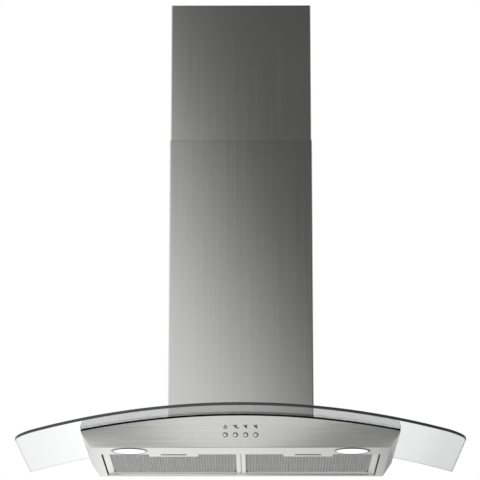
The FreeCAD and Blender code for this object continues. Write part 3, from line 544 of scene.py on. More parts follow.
def plate(loops, thickness, arris):
    """A flat plate with arrised rims: the first loop runs anticlockwise, holes run clockwise."""
    nip = arris * 0.3
    levels = ((arris, 0.0), (nip, nip), (0.0, arris), (0.0, thickness - arris), (nip, thickness - nip),
              (arris, thickness))
    work = bmesh.new()
    rims = ([], [])
    for loop in loops:
        rings = [[work.verts.new((*point, height)) for point in offset_loop(loop, inset)]
                 for inset, height in levels]
        for low, high in zip(rings, rings[1:]):
            for i in range(len(loop)):
                work.faces.new([low[i - 1], low[i], high[i], high[i - 1]]).material_index = 1
        for side, ring in zip(rims, (rings[0], rings[-1])):
            side += [work.edges.get((ring[i - 1], ring[i])) for i in range(len(loop))]
    for side in rims:
        bmesh.ops.triangle_fill(work, edges=side, use_beauty=True)
    return work


class HOOD_OT_glass(bpy.types.Operator):
    """Make the arched glass sheet with its ground edge, painted dark along the front as painted shade and
    pale elsewhere as a painted highlight
    """

    bl_idname = "hood.glass"
    bl_label = "Glass sheet"

    corner_steps, bow_steps = 14, 40
    gap = 0.0015
    screw_head, hole, hole_sides = 0.005, 0.0045, 20
    # Depth of the front band whose ground edge is painted dark as painted shade.
    painted_shade_band = 0.06

    def outline(self, notch_half, notch):
        """The sheet from above: bowed front, two rounded corners and a notch round the air box."""
        sizes = settings()[0]
        half, reach, back = GLASS_BOX[1].x, GLASS_BOX[0].y, GLASS_BOX[1].y
        radius = sizes.glass_corner
        bend = half - radius
        slope = math.atan(2 * sizes.glass_bow * bend / half ** 2)
        touch = bend + radius * math.sin(slope)
        centre = reach + sizes.glass_bow * (touch / half) ** 2 + radius * math.cos(slope)
        turns = [slope + (math.pi / 2 - slope) * i / self.corner_steps for i in range(self.corner_steps + 1)]
        corner = [(bend + radius * math.sin(turn), centre - radius * math.cos(turn)) for turn in turns]
        bow = [(x, reach + sizes.glass_bow * (x / half) ** 2)
               for x in (touch * i / self.bow_steps for i in range(self.bow_steps))]
        right = bow + corner + [(half, back), (notch_half, back), (notch_half, notch)]
        left = [(-x, y) for x, y in reversed(right[1:])]
        return [Vector(point) for point in right + left]

    def execute(self, context):
        sizes = settings()[0]
        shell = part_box("airbox_front_cover")
        outline = self.outline(shell[1].x + self.gap, shell[0].y - self.gap)
        low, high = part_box("glass_screws")
        circle = [Vector((self.hole * math.cos(turn), -self.hole * math.sin(turn)))
                  for turn in (2 * math.pi * i / self.hole_sides for i in range(self.hole_sides))]
        holes = [[point + Vector((side * (high.x - self.screw_head), y)) for point in circle]
                 for side in (-1, 1) for y in (low.y + self.screw_head, high.y - self.screw_head)]
        work = plate([outline] + holes, sizes.glass_thickness, sizes.glass_arris)
        for x in sorted({round(point.x, 6) for point in outline}):
            everything = work.verts[:] + work.edges[:] + work.faces[:]
            bmesh.ops.bisect_plane(work, geom=everything, plane_co=(x, 0, 0), plane_no=(1, 0, 0))
        # Edge faces behind the front band take the pale edge, a painted highlight; those in the band keep the
        # dark edge, painted shade.
        for face in work.faces:
            if face.material_index and face.calc_center_median().y > GLASS_BOX[0].y + self.painted_shade_band:
                face.material_index = 2
        for vert in work.verts:
            vert.co.z = arch_height(vert.co.x, sizes.arch_radius + vert.co.z)
        # The dark edge is painted shade and the pale edge a painted highlight, both on the same ground glass
        # edge.
        edges = [ground_edge("ground_edge", settings()[1].painted_shade_edge),
                 ground_edge("pale_edge", (0.93, 0.94, 0.94))]
        mesh = mesh_from(work, "glass_sheet", clear_glass(), *edges)
        shade_by_rule(mesh, 50, self.arched)
        add_piece("glass_sheet", mesh, "root", ["glass_canopy"], even=False)
        return {"FINISHED"}

    @staticmethod
    def arched(face):
        """The arch's own direction on the two arched faces, so that the sheet bends light evenly."""
        if face.material_index:
            return None
        centre, side = arch_height(0.0, 0.0), math.copysign(1, face.normal.z)
        return lambda place: Vector((place.x, 0, place.z - centre)).normalized() * side


# ---------------------------------------------------------------- chimney
class HOOD_OT_chimney(bpy.types.Operator):
    """Make the two folded chimney covers"""

    bl_idname = "hood.chimney"
    bl_label = "Chimney covers"

    def recipe(self, box, foot, low, taper, material):
        """Folds a strip round an outline; its foot follows an arch of the radius foot."""
        sizes = settings()[0]
        make = Recipe("folded_cover", Height=box[1].z - low - sizes.cover_hem, Low=low, Foot=foot,
                      Fold=sizes.fold_radius, Sheet=sizes.cover_sheet, Hem=sizes.cover_hem, Taper=taper)
        fold_steps, cuts, above_top, weld = 5, 15, 1.001, 0.00001
        line = make.node("GeometryNodeMeshToCurve", inputs={0: make["Shape"]})
        line = make.node("GeometryNodeFilletCurve", {"mode": "POLY"},
                         {"Curve": line, "Count": fold_steps, "Radius": make["Fold"]})
        line = make.node("GeometryNodeSubdivideCurve", inputs={"Curve": line, "Cuts": cuts})
        wall = make.node("GeometryNodeCurveToMesh", inputs={"Curve": line})
        wall = make.node("GeometryNodeExtrudeMesh", {"mode": "EDGES"},
                         {"Mesh": wall, "Offset": make.vector(z=make["Height"]), "Offset Scale": 1.0})
        wall = make.node("GeometryNodeExtrudeMesh", {"mode": "EDGES"},
                         {"Mesh": wall, "Selection": wall.other("Top"), "Offset": make.vector(z=make["Hem"]),
                          "Offset Scale": 1.0})
        x, y, z = make.split(make.node("GeometryNodeInputPosition"))
        height = (z - make["Low"]) / make["Height"]
        drop = make["Foot"] - (make["Foot"] * make["Foot"] - x * x).math("SQRT")
        lowered = z - drop * (1 - height.math("MINIMUM", 1.0))
        inwards = 1 - height.math("GREATER_THAN", above_top) * make["Taper"]
        moved = make.vector(x * inwards, y * inwards, lowered)
        wall = make.node("GeometryNodeSetPosition", inputs={"Geometry": wall, "Position": moved})
        inner = make.node("GeometryNodeExtrudeMesh", {"mode": "FACES"},
                          {"Mesh": wall, "Offset Scale": make["Sheet"] * -1.0, "Individual": False})
        inner = make.node("GeometryNodeFlipFaces", inputs={0: inner})
        joined = make.node("GeometryNodeJoinGeometry", inputs={0: [wall, inner]})
        joined = make.node("GeometryNodeMergeByDistance", inputs={"Geometry": joined, "Distance": weld})
        make.done(joined, material)
        return make

    def cover(self, name, node, box, foot, low, taper, material):
        sizes = settings()[0]
        half, front, back = box[1].x, box[0].y, box[1].y - sizes.cover_sheet
        inner = half - sizes.cover_flange
        outline = [(-inner, back), (-half, back), (-half, front), (half, front), (half, back), (inner, back)]
        points = [(x, y, low) for x, y in outline]
        base = mesh_of(name, points, edges=[(i, i + 1) for i in range(5)])
        mesh = self.recipe(box, foot, low, taper, material).use(name, base)
        add_piece(name, mesh, body_of(node), [node])

    def execute(self, context):
        sizes = settings()[0]
        grain, coarse = (2600.0, 2600.0, 7.0), (330.0, 330.0, 2.5)
        lower = brushed_steel("lower_cover_steel", grain, coarse, 0.14)
        upper = brushed_steel("upper_cover_steel", grain, coarse, 0.14, tone=1.12)
        top, clearance, straight = sizes.arch_radius + sizes.glass_thickness, 0.0003, 1000.0
        self.cover("lower_cover", "lower_chimney", LOWER_BOX, top, arch_height(0.0, top) + clearance, 0.0005,
                   lower)
        self.cover("upper_cover", "upper_chimney", UPPER_BOX, straight, UPPER_BOX[0].z, 0.0, upper)
        return {"FINISHED"}


# ---------------------------------------------------------------- canopy
def panel_width(up):
    """Half the width of the front panel, from its foot at 0 to the seal at 1."""
    return PANEL_HALF + PANEL_FLARE * up


def panel_point(across, up):
    """A point of the front panel: across runs from -1 to 1, up from 0 at the underside to 1 at the seal."""
    sizes = settings()[0]
    rise = sizes.panel_crown * math.tan(sizes.panel_lean)
    top = arch_height(panel_width(1) * across, sizes.arch_radius - sizes.seal_height)
    return Vector((across * panel_width(up), TRAY_BOX[0].y + rise * (1 - up),
                   UNDERSIDE + (top - UNDERSIDE) * up))


def panel_out():
    """The outward direction of the front panel in its middle."""
    lean = settings()[0].panel_lean
    return Vector((0, -math.cos(lean), -math.sin(lean)))


def panel_normal(place):
    """The outward direction of the front panel at a point of it."""
    rounds, step, least = 6, 0.001, 0.001
    across, up = place.x / panel_width(0.5), 0.5
    for _ in range(rounds):
        up = (place.z - UNDERSIDE) / max(panel_point(across, 1.0).z - UNDERSIDE, least)
        across = place.x / panel_width(up)
    side = panel_point(across + step, up) - panel_point(across - step, up)
    rise = panel_point(across, up + step) - panel_point(across, up - step)
    return side.cross(rise).normalized()


class HOOD_OT_canopy(bpy.types.Operator):
    """Finish the steel tray and the seal under the glass"""

    bl_idname = "hood.canopy"
    bl_label = "Steel tray"

    @staticmethod
    def front_panel(face):
        """The curved front panel's own direction, on the faces that lean as it does."""
        slack, least, most = 0.001, 22, 65
        lean = -math.degrees(math.asin(max(-1.0, min(1.0, face.normal.z))))
        ahead = face.normal.y < -0.4 and face.center.y < panel_point(0, 0).y + slack
        return panel_normal if ahead and least < lean < most else None

    def drawn_up(self, name, node, material, slot):
        """A copy of a piece whose edge under the seal reaches a little closer to the glass."""
        sizes = settings()[0]
        weld, near = 0.000005, 0.0002
        work = bmesh.new()
        work.from_mesh(NODES[node].data)
        bmesh.ops.remove_doubles(work, verts=work.verts, dist=weld)
        edge = sizes.arch_radius - sizes.seal_height
        for vert in work.verts:
            if abs(vert.co.z - arch_height(vert.co.x, edge)) < near:
                vert.co.z += sizes.seal_cover
        mesh = mesh_from(work, name, material, outwards=False)
        shade_by_rule(mesh, 20, self.front_panel)
        add_piece(name, mesh, "root", [node], even=False)

    def execute(self, context):
        tray = brushed_steel("tray_steel", (7.0, 2600.0, 2600.0), (2.5, 330.0, 330.0), 0.26)
        self.drawn_up("steel_tray", "canopy_body", tray, "brushed_steel")
        seal = moulded_plastic("black_seal", (0.003, 0.003, 0.003), 0.7, sheen=0.08)
        self.drawn_up("glass_seal", "glass_gasket", seal, "black_seal")
        dress(galvanised_sheet(), "canopy_top_plate", "inner_frame", "airbox_shell", "airbox_front_cover",
              "chimney_clips", "ceiling_bracket")
        return {"FINISHED"}


# ---------------------------------------------------------------- filters
def tube_of_rings(work, rings, material=0):
    """Joins closed rings of points, one after the other and the last to the first, into a closed skin."""
    rows = [[work.verts.new(point) for point in ring] for ring in rings]
    for low, high in zip(rows, rows[1:] + rows[:1]):
        for i in range(len(low)):
            work.faces.new([low[i - 1], low[i], high[i], high[i - 1]]).material_index = material


def box_faces(work, low, high, material=0):
    """A closed box between two corners."""
    x, y, z = zip(low, high)
    ring = [(x[0], y[0]), (x[1], y[0]), (x[1], y[1]), (x[0], y[1])]
    rows = [[work.verts.new((*point, height)) for point in ring] for height in z]
    faces = [list(reversed(rows[0])), rows[1]]
    faces += [[rows[0][i - 1], rows[0][i], rows[1][i], rows[1][i - 1]] for i in range(4)]
    for face in faces:
        work.faces.new(face).material_index = material


class HOOD_OT_filters(bpy.types.Operator):
    """Make the rims and the expanded mesh of the two grease filters"""

    bl_idname = "hood.filters"
    bl_label = "Grease filters"

    def recipe(self, width, depth, material):
        """Rows of zigzag strands, each turned so that it meets the next in its corners."""
        sizes = settings()[0]
        make = Recipe("expanded_mesh", Width=width, Depth=depth, Pitch=sizes.strand_pitch,
                      Step=sizes.strand_step, Strand=sizes.strand_width)
        flatness = 0.6
        count = (make["Width"] / make["Step"]).math("FLOOR")
        start = make.vector(x=count * make["Step"] * -0.5)
        line = make.node("GeometryNodeMeshLine", {"mode": "OFFSET"},
                         {"Count": count + 1, "Start Location": start, "Offset": make.vector(x=make["Step"])})
        side = make.node("GeometryNodeInputIndex").math("MODULO", 2.0) - 0.5
        swing = make.vector(y=side * make["Pitch"])
        line = make.node("GeometryNodeSetPosition", inputs={"Geometry": line, "Offset": swing})
        line = make.node("GeometryNodeMeshToCurve", inputs={0: line})
        section = make.node("GeometryNodeCurvePrimitiveQuadrilateral", {"mode": "RECTANGLE"},
                            {"Width": make["Strand"], "Height": make["Strand"] * flatness})
        strand = make.node("GeometryNodeCurveToMesh", inputs={"Curve": line, "Profile Curve": section})
        rows = (make["Depth"] / make["Pitch"]).math("FLOOR")
        first = make.vector(y=(rows - 1) * make["Pitch"] * -0.5)
        ladder = make.node("GeometryNodeMeshLine", {"mode": "OFFSET"},
                           {"Count": rows, "Start Location": first, "Offset": make.vector(y=make["Pitch"])})
        odd = make.node("GeometryNodeInputIndex").math("MODULO", 2.0)
        placed = make.node("GeometryNodeInstanceOnPoints",
                           inputs={"Points": ladder, "Instance": strand,
                                   "Rotation": make.vector(z=odd * math.pi)})
        make.done(placed, material)
        return make

    @staticmethod
    def rim(side, rim):
        """A folded rim: a flat outer face, a bevel down to the mesh and rounded corners."""
        low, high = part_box("filter_frame_" + side)
        mesh_low, mesh_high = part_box("filter_mesh_" + side)
        wide, tight, roll, step = 0.0016, -0.0006, 0.0008, 0.0024
        outer_left, outer_right = (wide, tight) if side == "left" else (tight, wide)

        def ring(share, height, inset=0.0, middle=None):
            """A rectangle a share of the way from the rim's outside to the mesh, flatter along the middle."""
            middle = share if middle is None else middle
            first, last = (share, middle) if side == "left" else (middle, share)
            x0 = low.x + outer_left + inset + (mesh_low.x - low.x - outer_left) * first
            x1 = high.x - outer_right - inset - (high.x - outer_right - mesh_high.x) * last
            y0 = low.y + inset + (mesh_low.y - low.y) * share
            y1 = high.y - inset - (high.y - mesh_high.y) * share
            return [(x, y, height) for x, y in ((x0, y0), (x1, y0), (x1, y1), (x0, y1))]

        rings = [ring(0.0, low.z + roll), ring(0.0, low.z + roll * 0.3, roll * 0.3), ring(0.0, low.z, roll),
                 ring(0.18, low.z, middle=0.80), ring(0.30, low.z + 0.0003, middle=0.85),
                 ring(0.95, low.z + step), ring(1.0, low.z + step + 0.0004), ring(1.0, high.z - roll),
                 ring(0.95, high.z), ring(0.0, high.z, roll), ring(0.0, high.z - roll)]
        work = bmesh.new()
        tube_of_rings(work, rings)
        mesh = mesh_from(work, "filter_rim_" + side, rim)
        node = "filter_frame_" + side
        add_piece("folded_rim_" + side, mesh, body_of(node), [node])

    @staticmethod
    def trim(side, crimp, dark):
        """The crimped line across the mesh, and near black painted shadow: boxes in the drain holes in its
        rear corners and a ring round the finger slot.
        """
        low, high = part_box("filter_mesh_" + side)
        line, width, height = -0.119, 0.0009, 0.0003
        hole, depth, proud, sunk = 0.0025, 0.016, 0.0008, 0.0005
        work = bmesh.new()
        box_faces(work, (low.x, line - width, low.z - height), (high.x, line + width, low.z + height))
        # Near black boxes in the rear corners: painted shadow of the drain holes.
        for x in (low.x, high.x - hole):
            box_faces(work, (x, high.y - depth, low.z - proud), (x + hole, high.y, low.z + sunk), 1)
        plate_low, plate_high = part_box("filter_latch_plate_" + side)
        middle, half, length, lip = (plate_low.x + plate_high.x) / 2, 0.0255, 0.010, 0.0014
        back = plate_high.y - 0.0186

        def slot(grow, height):
            left, right = middle - half - grow, middle + half + grow
            front, rear = back - length - grow, back + grow
            corners = [(left, front), (right, front), (right, rear), (left, rear)]
            return [(*corner, height) for corner in corners]

        under, above = plate_low.z - height, plate_low.z + 0.0002
        # A near black ring just under the latch plate round the finger slot: painted shadow.
        tube_of_rings(work, [slot(0, under), slot(lip, under), slot(lip, above), slot(0, above)], 1)
        name = "mesh_trim_" + side
        add_piece(name, mesh_from(work, name, crimp, dark), body_of("filter_mesh_" + side))

    def execute(self, context):
        wire = satin_aluminium("strand_aluminium", (0.63, 0.63, 0.63), 400.0)
        rim = satin_aluminium("filter_rim", (0.93, 0.93, 0.92), (8.0, 1500.0, 1500.0))
        crimp = satin_aluminium("crimp", (0.66, 0.66, 0.66), (30.0, 900.0, 900.0))
        # Near black plastic for the painted shadow in the drain holes and the finger slot.
        dark = moulded_plastic("drain_shadow", (0.01, 0.01, 0.01), 0.7)
        dress(mesh_pack(), "filter_mesh_left", "filter_mesh_right")
        for side in SIDES:
            dress(rim, "filter_latch_plate_" + side)
            self.rim(side, rim)
            self.trim(side, crimp, dark)
            low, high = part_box("filter_mesh_" + side)
            make = self.recipe(high.x - low.x, high.y - low.y, wire)
            mesh = make.use("expanded_mesh_" + side, mesh_of("seed", [(0, 0, 0)]))
            mesh.transform(Matrix.Translation((*((low + high) / 2).xy, low.z)))
            self.clear_latch(mesh, side)
            add_piece("expanded_mesh_" + side, mesh, body_of("filter_mesh_" + side))
        return {"FINISHED"}

    @staticmethod
    def clear_latch(mesh, side):
        """Takes out the strands that would lie in the latch plate."""
        low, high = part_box("filter_latch_plate_" + side)
        work = bmesh.new()
        work.from_mesh(mesh)
        gone = [f for f in work.faces if low.x < f.calc_center_median().x < high.x
                and f.calc_center_median().y < high.y]
        bmesh.ops.delete(work, geom=gone, context="FACES")
        work.to_mesh(mesh)
        work.free()


# ---------------------------------------------------------------- lamps and buttons
def turned(profile, sides=48):
    """Rings of points for a profile of (radius, height) pairs turned round Z."""
    return [[(radius * math.cos(2 * math.pi * i / sides), radius * math.sin(2 * math.pi * i / sides), height)
             for i in range(sides)] for radius, height in profile]


class HOOD_OT_lamps(bpy.types.Operator):
    """Make the lamps' bezels and finish the lamps and their drivers"""

    bl_idname = "hood.lamps"
    bl_label = "Lamps"

    def bezel(self, side, trim):
        """A turned ring: its face slopes up to the sheet outside and down to the lens inside."""
        low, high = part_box("lamp_ring_" + side)
        lens_low, lens_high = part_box("lamp_lens_" + side)
        radius = (high.x - low.x) / 2
        lens = (lens_high.x - lens_low.x) / 2 + 0.0001
        sleeve = lens + 0.0018
        rim = [(radius, UNDERSIDE), (radius - 0.0003, UNDERSIDE - 0.0004)]
        face = [(lens + 0.0020, low.z + 0.0001), (lens + 0.0016, low.z), (lens + 0.0010, low.z),
                (lens + 0.0005, low.z + 0.0003), (lens, low.z + 0.0012)]
        profile = rim + face + [(lens, high.z), (sleeve, high.z), (sleeve, UNDERSIDE)]
        work = bmesh.new()
        tube_of_rings(work, turned(profile, 96))
        mesh = mesh_from(work, "lamp_bezel_" + side, trim)
        mesh.transform(Matrix.Translation((*((low + high) / 2).xy, 0)))
        add_piece("lamp_bezel_" + side, mesh, "root", ["lamp_ring_" + side])

    def execute(self, context):
        trim = plain_metal("lamp_trim", (0.26, 0.26, 0.265), 0.16)
        for side in SIDES:
            self.bezel(side, trim)
        dress(lamp_glass(), "lamp_lens_left", "lamp_lens_right")
        dress(moulded_plastic("white_plastic", (0.80, 0.80, 0.78), 0.4), "lamp_led_left", "lamp_led_right",
              "lamp_driver", "lamp_housing_left", "lamp_housing_right")
        return {"FINISHED"}


class HOOD_OT_buttons(bpy.types.Operator):
    """Make the push buttons and print the pictograms over them"""

    bl_idname = "hood.buttons"
    bl_label = "Push buttons"

    names = ("button_light", "button_speed_1", "button_speed_2", "button_speed_3")
    stand, reach = 0.0035, 0.0115

    def cap(self, name, chrome, painted_shade_metal):
        """A turned cap with a flat face and a broad bevel, on the CAD button's own axis; the bevel is a
        darker copy of the chrome, as painted shade.
        """
        low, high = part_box(name)
        axis = panel_out()
        face = Vector(((low.x + high.x) / 2, *self.row)) + axis * self.stand
        profile = [(0.0012, 0.0), (0.0021, -0.00003), (0.0025, -0.00018), (0.0046, -0.0017),
                   (0.0049, -0.0022), (0.0049, -self.reach), (0.0012, -self.reach)]
        # The rings of the bevel take the darker metal: painted shade.
        bevel = (2, 3, 4)
        work = bmesh.new()
        rows = [[work.verts.new(point) for point in ring] for ring in turned(profile)]
        for index, (inner, outer) in enumerate(zip(rows, rows[1:])):
            for i in range(len(inner)):
                made = work.faces.new([inner[i - 1], inner[i], outer[i], outer[i - 1]])
                made.material_index = int(index in bevel)
        work.faces.new(rows[0])
        work.faces.new(rows[-1])
        mesh = mesh_from(work, name + "_cap", chrome, painted_shade_metal)
        mesh.transform(Matrix.Translation(face) @ axis.to_track_quat("Z", "X").to_matrix().to_4x4())
        add_piece(name + "_cap", mesh, body_of(name), [name])

    def panel(self, x, rise):
        """A point of the front panel, rise metres up its slope at a place across."""
        sizes = settings()[0]
        up = rise * math.cos(sizes.panel_lean) / sizes.panel_crown
        return panel_point(x / panel_width(up), up)

    def print_shape(self, work, outline, centre):
        """Prints a flat outline on the panel, a hair above the steel."""
        ink = 0.00006
        lift = panel_out() * ink
        x, rise = centre
        work.faces.new([work.verts.new(self.panel(x + a, rise + b) + lift) for a, b in outline])

    @staticmethod
    def arc(radius, start, end):
        """Points of an arc between two angles in degrees."""
        steps = 10
        turns = [math.radians(start + (end - start) * i / steps) for i in range(steps + 1)]
        return [(radius * math.cos(t), radius * math.sin(t)) for t in turns]

    def lamp_sign(self, work, centre, size):
        """A half-round lamp over the bow of its light."""
        dome = [(x, y + size * 0.10) for x, y in self.arc(size * 0.27, -40, 220)]
        bow = self.arc(size * 0.54, 190, 350) + self.arc(size * 0.30, 350, 190)
        self.print_shape(work, dome, centre)
        self.print_shape(work, bow, centre)

    def fan_sign(self, work, centre, size, dash):
        """A fan of three swept blades; the slowest speed has a dash beside it."""
        centre = (centre[0] - size * 0.08, centre[1])
        length, hub, points = 0.64, 0.06, 16
        for degrees, width in ((142, 0.17), (44, 0.19), (-44, 0.25)):
            turn = Matrix.Rotation(math.radians(degrees), 2)
            blade = [turn @ Vector((length * (1 - math.cos(t)) / 2 - hub, width * math.sin(t))) * size
                     for t in (2 * math.pi * i / points for i in range(points))]
            self.print_shape(work, blade, centre)
        if dash:
            low, high = -size * 0.50, -size * 0.26
            self.print_shape(work, [(size * 0.40, low), (size * 0.85, low), (size * 0.85, high),
                                    (size * 0.40, high)], centre)

    def execute(self, context):
        sizes = settings()[0]
        chrome = plain_metal("button_steel", (0.78, 0.78, 0.78), 0.10)
        # A darker copy of the chrome for the caps' bevels: painted shade.
        painted_shade_metal = plain_metal("button_bevel", (0.34, 0.34, 0.35), 0.12)
        row = self.panel(0.0, sizes.button_rise / math.cos(sizes.panel_lean))
        self.row = (row.y, row.z)
        work = bmesh.new()
        for index, name in enumerate(self.names):
            self.cap(name, chrome, painted_shade_metal)
            low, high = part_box(name)
            centre = ((low.x + high.x) / 2, sizes.icon_rise / math.cos(sizes.panel_lean))
            if index == 0:
                self.lamp_sign(work, centre, sizes.icon_size)
            else:
                self.fan_sign(work, centre, sizes.icon_size, index == 1)
        mesh = mesh_from(work, "button_signs", printed_ink())
        add_piece("button_signs", mesh, "root")
        return {"FINISHED"}


# ---------------------------------------------------------------- inside
class HOOD_OT_inside(bpy.types.Operator):
    """Finish the fan, the outlet, the mains inlet and the small parts"""

    bl_idname = "hood.inside"
    bl_label = "Inner parts"

    def execute(self, context):
        dress(moulded_plastic("black_plastic", (0.03, 0.03, 0.031), 0.42), "terminal_box", "terminal_box_lid",
              "cable_gland", "outlet_collar", "damper_flap_left", "damper_flap_right", "button_guide",
              "switch_module")
        dress(moulded_plastic("grey_plastic", (0.34, 0.35, 0.36), 0.45), "scroll_front", "scroll_back",
              "impeller", "capacitor")
        dress(moulded_plastic("latch_plastic", (0.02, 0.02, 0.02), 0.5, sheen=0.2), "filter_latch_left",
              "filter_latch_right")
        dress(moulded_plastic("motor_paint", (0.14, 0.15, 0.16), 0.35, 0.2), "motor")
        dress(moulded_plastic("rubber", (0.02, 0.02, 0.02), 0.7), "motor_bushes")
        dress(moulded_plastic("nylon", (0.78, 0.78, 0.75), 0.35), "glass_washers")
        dress(plain_metal("bright_steel", (0.66, 0.66, 0.65), 0.28), "motor_shaft", "damper_spindle",
              "cover_screws", "lower_chimney_screws", "chimney_screws", "glass_screws")
        return {"FINISHED"}


# ---------------------------------------------------------------- stage
class HOOD_OT_stage(bpy.types.Operator):
    """Set up the floor, the light and the camera"""

    bl_idname = "hood.stage"
    bl_label = "Stage"

    def world(self):
        """A pale studio: white where it is looked at, softer where it lights the hood."""
        stage = settings()[2]
        world = bpy.data.worlds.new("studio")
        world.use_nodes = True
        world.node_tree.nodes.clear()
        graph = Graph(world.node_tree)
        path = graph.node("ShaderNodeLightPath")
        seen = path.other("Is Camera Ray")
        for kind in ("Is Glossy Ray", "Is Transmission Ray"):
            seen = seen.math("MAXIMUM", path.other(kind))
        level = seen * (1.0 - stage.sky) + stage.sky
        sky = graph.node("ShaderNodeBackground", inputs={"Color": (1, 1, 1, 1), "Strength": level})
        graph.node("ShaderNodeOutputWorld", inputs={"Surface": sky})
        bpy.context.scene.world = world

    def floor(self):
        """A pale floor that keeps the hood's shadow and is clear from below."""
        stage = settings()[2]
        finish = Finish("pale_floor")
        seen = finish.node("ShaderNodeLightPath", out="Is Camera Ray")
        paint = finish.node("ShaderNodeBsdfDiffuse", inputs={"Color": (0.80, 0.80, 0.80, 1.0)})
        lift = finish.node("ShaderNodeEmission", inputs={"Color": (1, 1, 1, 1), "Strength": seen * 0.32})
        top = finish.node("ShaderNodeAddShader", inputs={0: paint, 1: lift})
        below = finish.node("ShaderNodeNewGeometry", out="Backfacing")
        clear = finish.node("ShaderNodeBsdfTransparent")
        paint = finish.out(finish.node("ShaderNodeMixShader", inputs={0: below, 1: top, 2: clear}))
        work = bmesh.new()
        bmesh.ops.create_circle(work, cap_ends=True, segments=96, radius=stage.floor_radius)
        floor = in_scene("floor", mesh_from(work, "floor", paint, outwards=False))
        floor.location.z = stage.floor_height
        floor.visible_glossy = False

    def card(self, name, low, high, light):
        """A soft reflector that only shiny surfaces see; light gives its brightness and how far it covers."""
        lies = low[2] == high[2]
        right = (high[0], low[1] if lies else high[1], low[2])
        left = (low[0], high[1] if lies else low[1], high[2])
        finish = Finish(name)
        level, cover = light(*finish.split(finish.place()))
        glow = finish.node("ShaderNodeEmission", inputs={"Color": (1, 1, 1, 1), "Strength": level})
        clear = finish.node("ShaderNodeBsdfTransparent")
        glow = finish.node("ShaderNodeMixShader", inputs={0: cover, 1: clear, 2: glow})
        mesh = mesh_of(name, [low, right, high, left], faces=[(0, 1, 2, 3)])
        mesh.materials.append(finish.out(glow))
        card = in_scene(name, mesh)
        for ray in ("camera", "diffuse", "transmission", "shadow", "volume_scatter"):
            setattr(card, "visible_" + ray, False)

    def cards(self):
        """Five soft reflectors: at both sides of the hood, ahead of it, behind it and under it."""

        def front(x, y, z):
            level = (z + x * 2.31).ease(-0.36, 0.82, 0.98, 0.082)
            return level, x.window(-3.0, -2.0, 2.0, 3.0) * z.window(-0.6, -0.15, 3.0, 4.0)

        def back(x, y, z):
            across = x.steps((-0.6, 0.90), (-0.42, 0.92), (-0.37, 1.04), (-0.31, 1.20), (-0.18, 1.05),
                             (0.0, 1.0), (0.165, 0.86), (0.30, 0.76), (0.345, 0.66), (0.39, 0.40),
                             (0.6, 0.33))
            level = across * z.ease(-0.85, -0.55, 0.6, 1.0)
            return level, x.window(-1.2, -0.9, 0.9, 1.2) * z.window(-1.1, -0.9, -0.15, 0.25)

        def below(x, y, z):
            across = x.steps((-0.6, 0.50), (-0.30, 0.56), (-0.20, 0.64), (-0.14, 0.74), (-0.10, 0.86),
                             (-0.04, 1.85), (0.03, 1.85), (0.08, 0.74), (0.12, 0.50), (0.20, 0.36),
                             (0.35, 0.30), (0.6, 0.22))
            along = y.steps((-1.3, 0.85), (-1.16, 0.96), (-1.08, 1.14), (-1.02, 1.0), (-0.96, 0.70),
                            (-0.90, 0.52), (-0.82, 0.54), (-0.6, 0.58), (-0.45, 0.60), (-0.3, 1.0),
                            (0.0, 0.6), (1.0, 0.5))
            outwards = (x.math("ABSOLUTE") - y * 0.16 - 0.269).ease(-0.02, 0.08, 0.60, 2.1)
            return across * along * outwards, x.window(-1.2, -0.8, 0.8, 1.2) * y.window(-1.9, -1.6, 0.9, 1.1)

        def right(x, y, z):
            level = z.steps((-1.0, 0.10), (0.0, 0.16), (0.8, 0.75), (2.5, 0.95))
            return level, y.window(-2.2, -1.4, 1.4, 2.2) * z.window(-1.2, -0.9, 1.5, 2.5)

        def left(x, y, z):
            return 2.4, y.window(-1.3, -0.9, -0.3, 0.1) * z.window(-1.7, -1.4, -0.9, -0.6)

        for name, light, low, high in (
                ("left_card", left, (-2.2, -1.3, -1.7), (-2.2, 0.1, -0.6)),
                ("right_card", right, (2.2, -2.2, -1.2), (2.2, 2.2, 2.5)),
                ("front_card", front, (-3, -1.3, -0.6), (3, -1.3, 4)),
                ("back_card", back, (-1.2, 0.9, -1.1), (1.2, 0.9, 0.3)),
                ("floor_card", below, (-1.2, -1.9, -1.0), (1.2, 1.1, -1.0))):
            self.card(name, low, high, light)

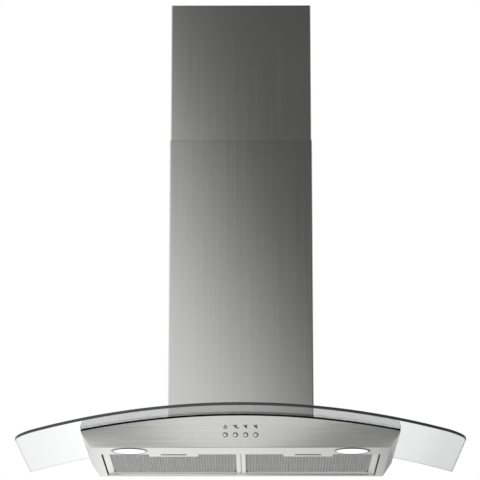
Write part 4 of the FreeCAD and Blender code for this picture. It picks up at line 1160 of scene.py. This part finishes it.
    def soft_box(self, name, place, aim, size, power):
        """A square lamp that lights the hood and is seen neither in the steel nor through the glass."""
        light = bpy.data.lights.new(name, "AREA")
        light.size = size
        light.energy = power
        lamp = in_scene(name, light)
        lamp.location = place
        lamp.rotation_euler = (Vector(aim) - Vector(place)).to_track_quat("-Z", "Y").to_euler()
        lamp.visible_glossy = False
        lamp.visible_transmission = False

    def camera(self):
        stage = settings()[2]
        lens = bpy.data.cameras.new("camera")
        lens.lens = stage.lens
        lens.clip_end = 200.0
        camera = in_scene("camera", lens)
        camera.location = stage.camera_place
        camera.rotation_euler = (math.pi / 2 + stage.camera_pitch, 0.0, stage.camera_yaw)
        bpy.context.scene.camera = camera

    def execute(self, context):
        stage = settings()[2]
        self.world()
        self.floor()
        self.cards()
        self.soft_box("overhead", (-0.8, -1.6, 2.6), (0, -0.2, 0), 2.2, stage.lamp_power)
        self.camera()
        context.scene.view_settings.view_transform = "Standard"
        return {"FINISHED"}


# ---------------------------------------------------------------- add-on
OPERATORS = (HOOD_OT_stage, HOOD_OT_glass, HOOD_OT_chimney, HOOD_OT_canopy, HOOD_OT_filters, HOOD_OT_lamps,
             HOOD_OT_buttons, HOOD_OT_inside)


class HOOD_PT_panel(bpy.types.Panel):
    """Lists the hood's pieces"""

    bl_idname = "HOOD_PT_panel"
    bl_label = "Curved Glass Hood"
    bl_space_type = "VIEW_3D"
    bl_region_type = "UI"
    bl_category = "Hood"

    def draw(self, context):
        for operator in OPERATORS:
            self.layout.operator(operator.bl_idname)
        for group in settings():
            box = self.layout.box()
            for key in group.__annotations__:
                box.prop(group, key)


CLASSES = (HoodSizes, HoodFinishes, HoodStage) + OPERATORS + (HOOD_PT_panel,)


def register():
    for cls in CLASSES:
        bpy.utils.register_class(cls)
    bpy.types.Scene.hood_sizes = PointerProperty(type=HoodSizes)
    bpy.types.Scene.hood_finishes = PointerProperty(type=HoodFinishes)
    bpy.types.Scene.hood_stage = PointerProperty(type=HoodStage)


def unregister():
    del bpy.types.Scene.hood_stage
    del bpy.types.Scene.hood_finishes
    del bpy.types.Scene.hood_sizes
    for cls in reversed(CLASSES):
        bpy.utils.unregister_class(cls)


def main():
    register()
    for operator in OPERATORS:
        family, name = operator.bl_idname.split(".")
        getattr(getattr(bpy.ops, family), name)()


if __name__ == "__main__":
    main()
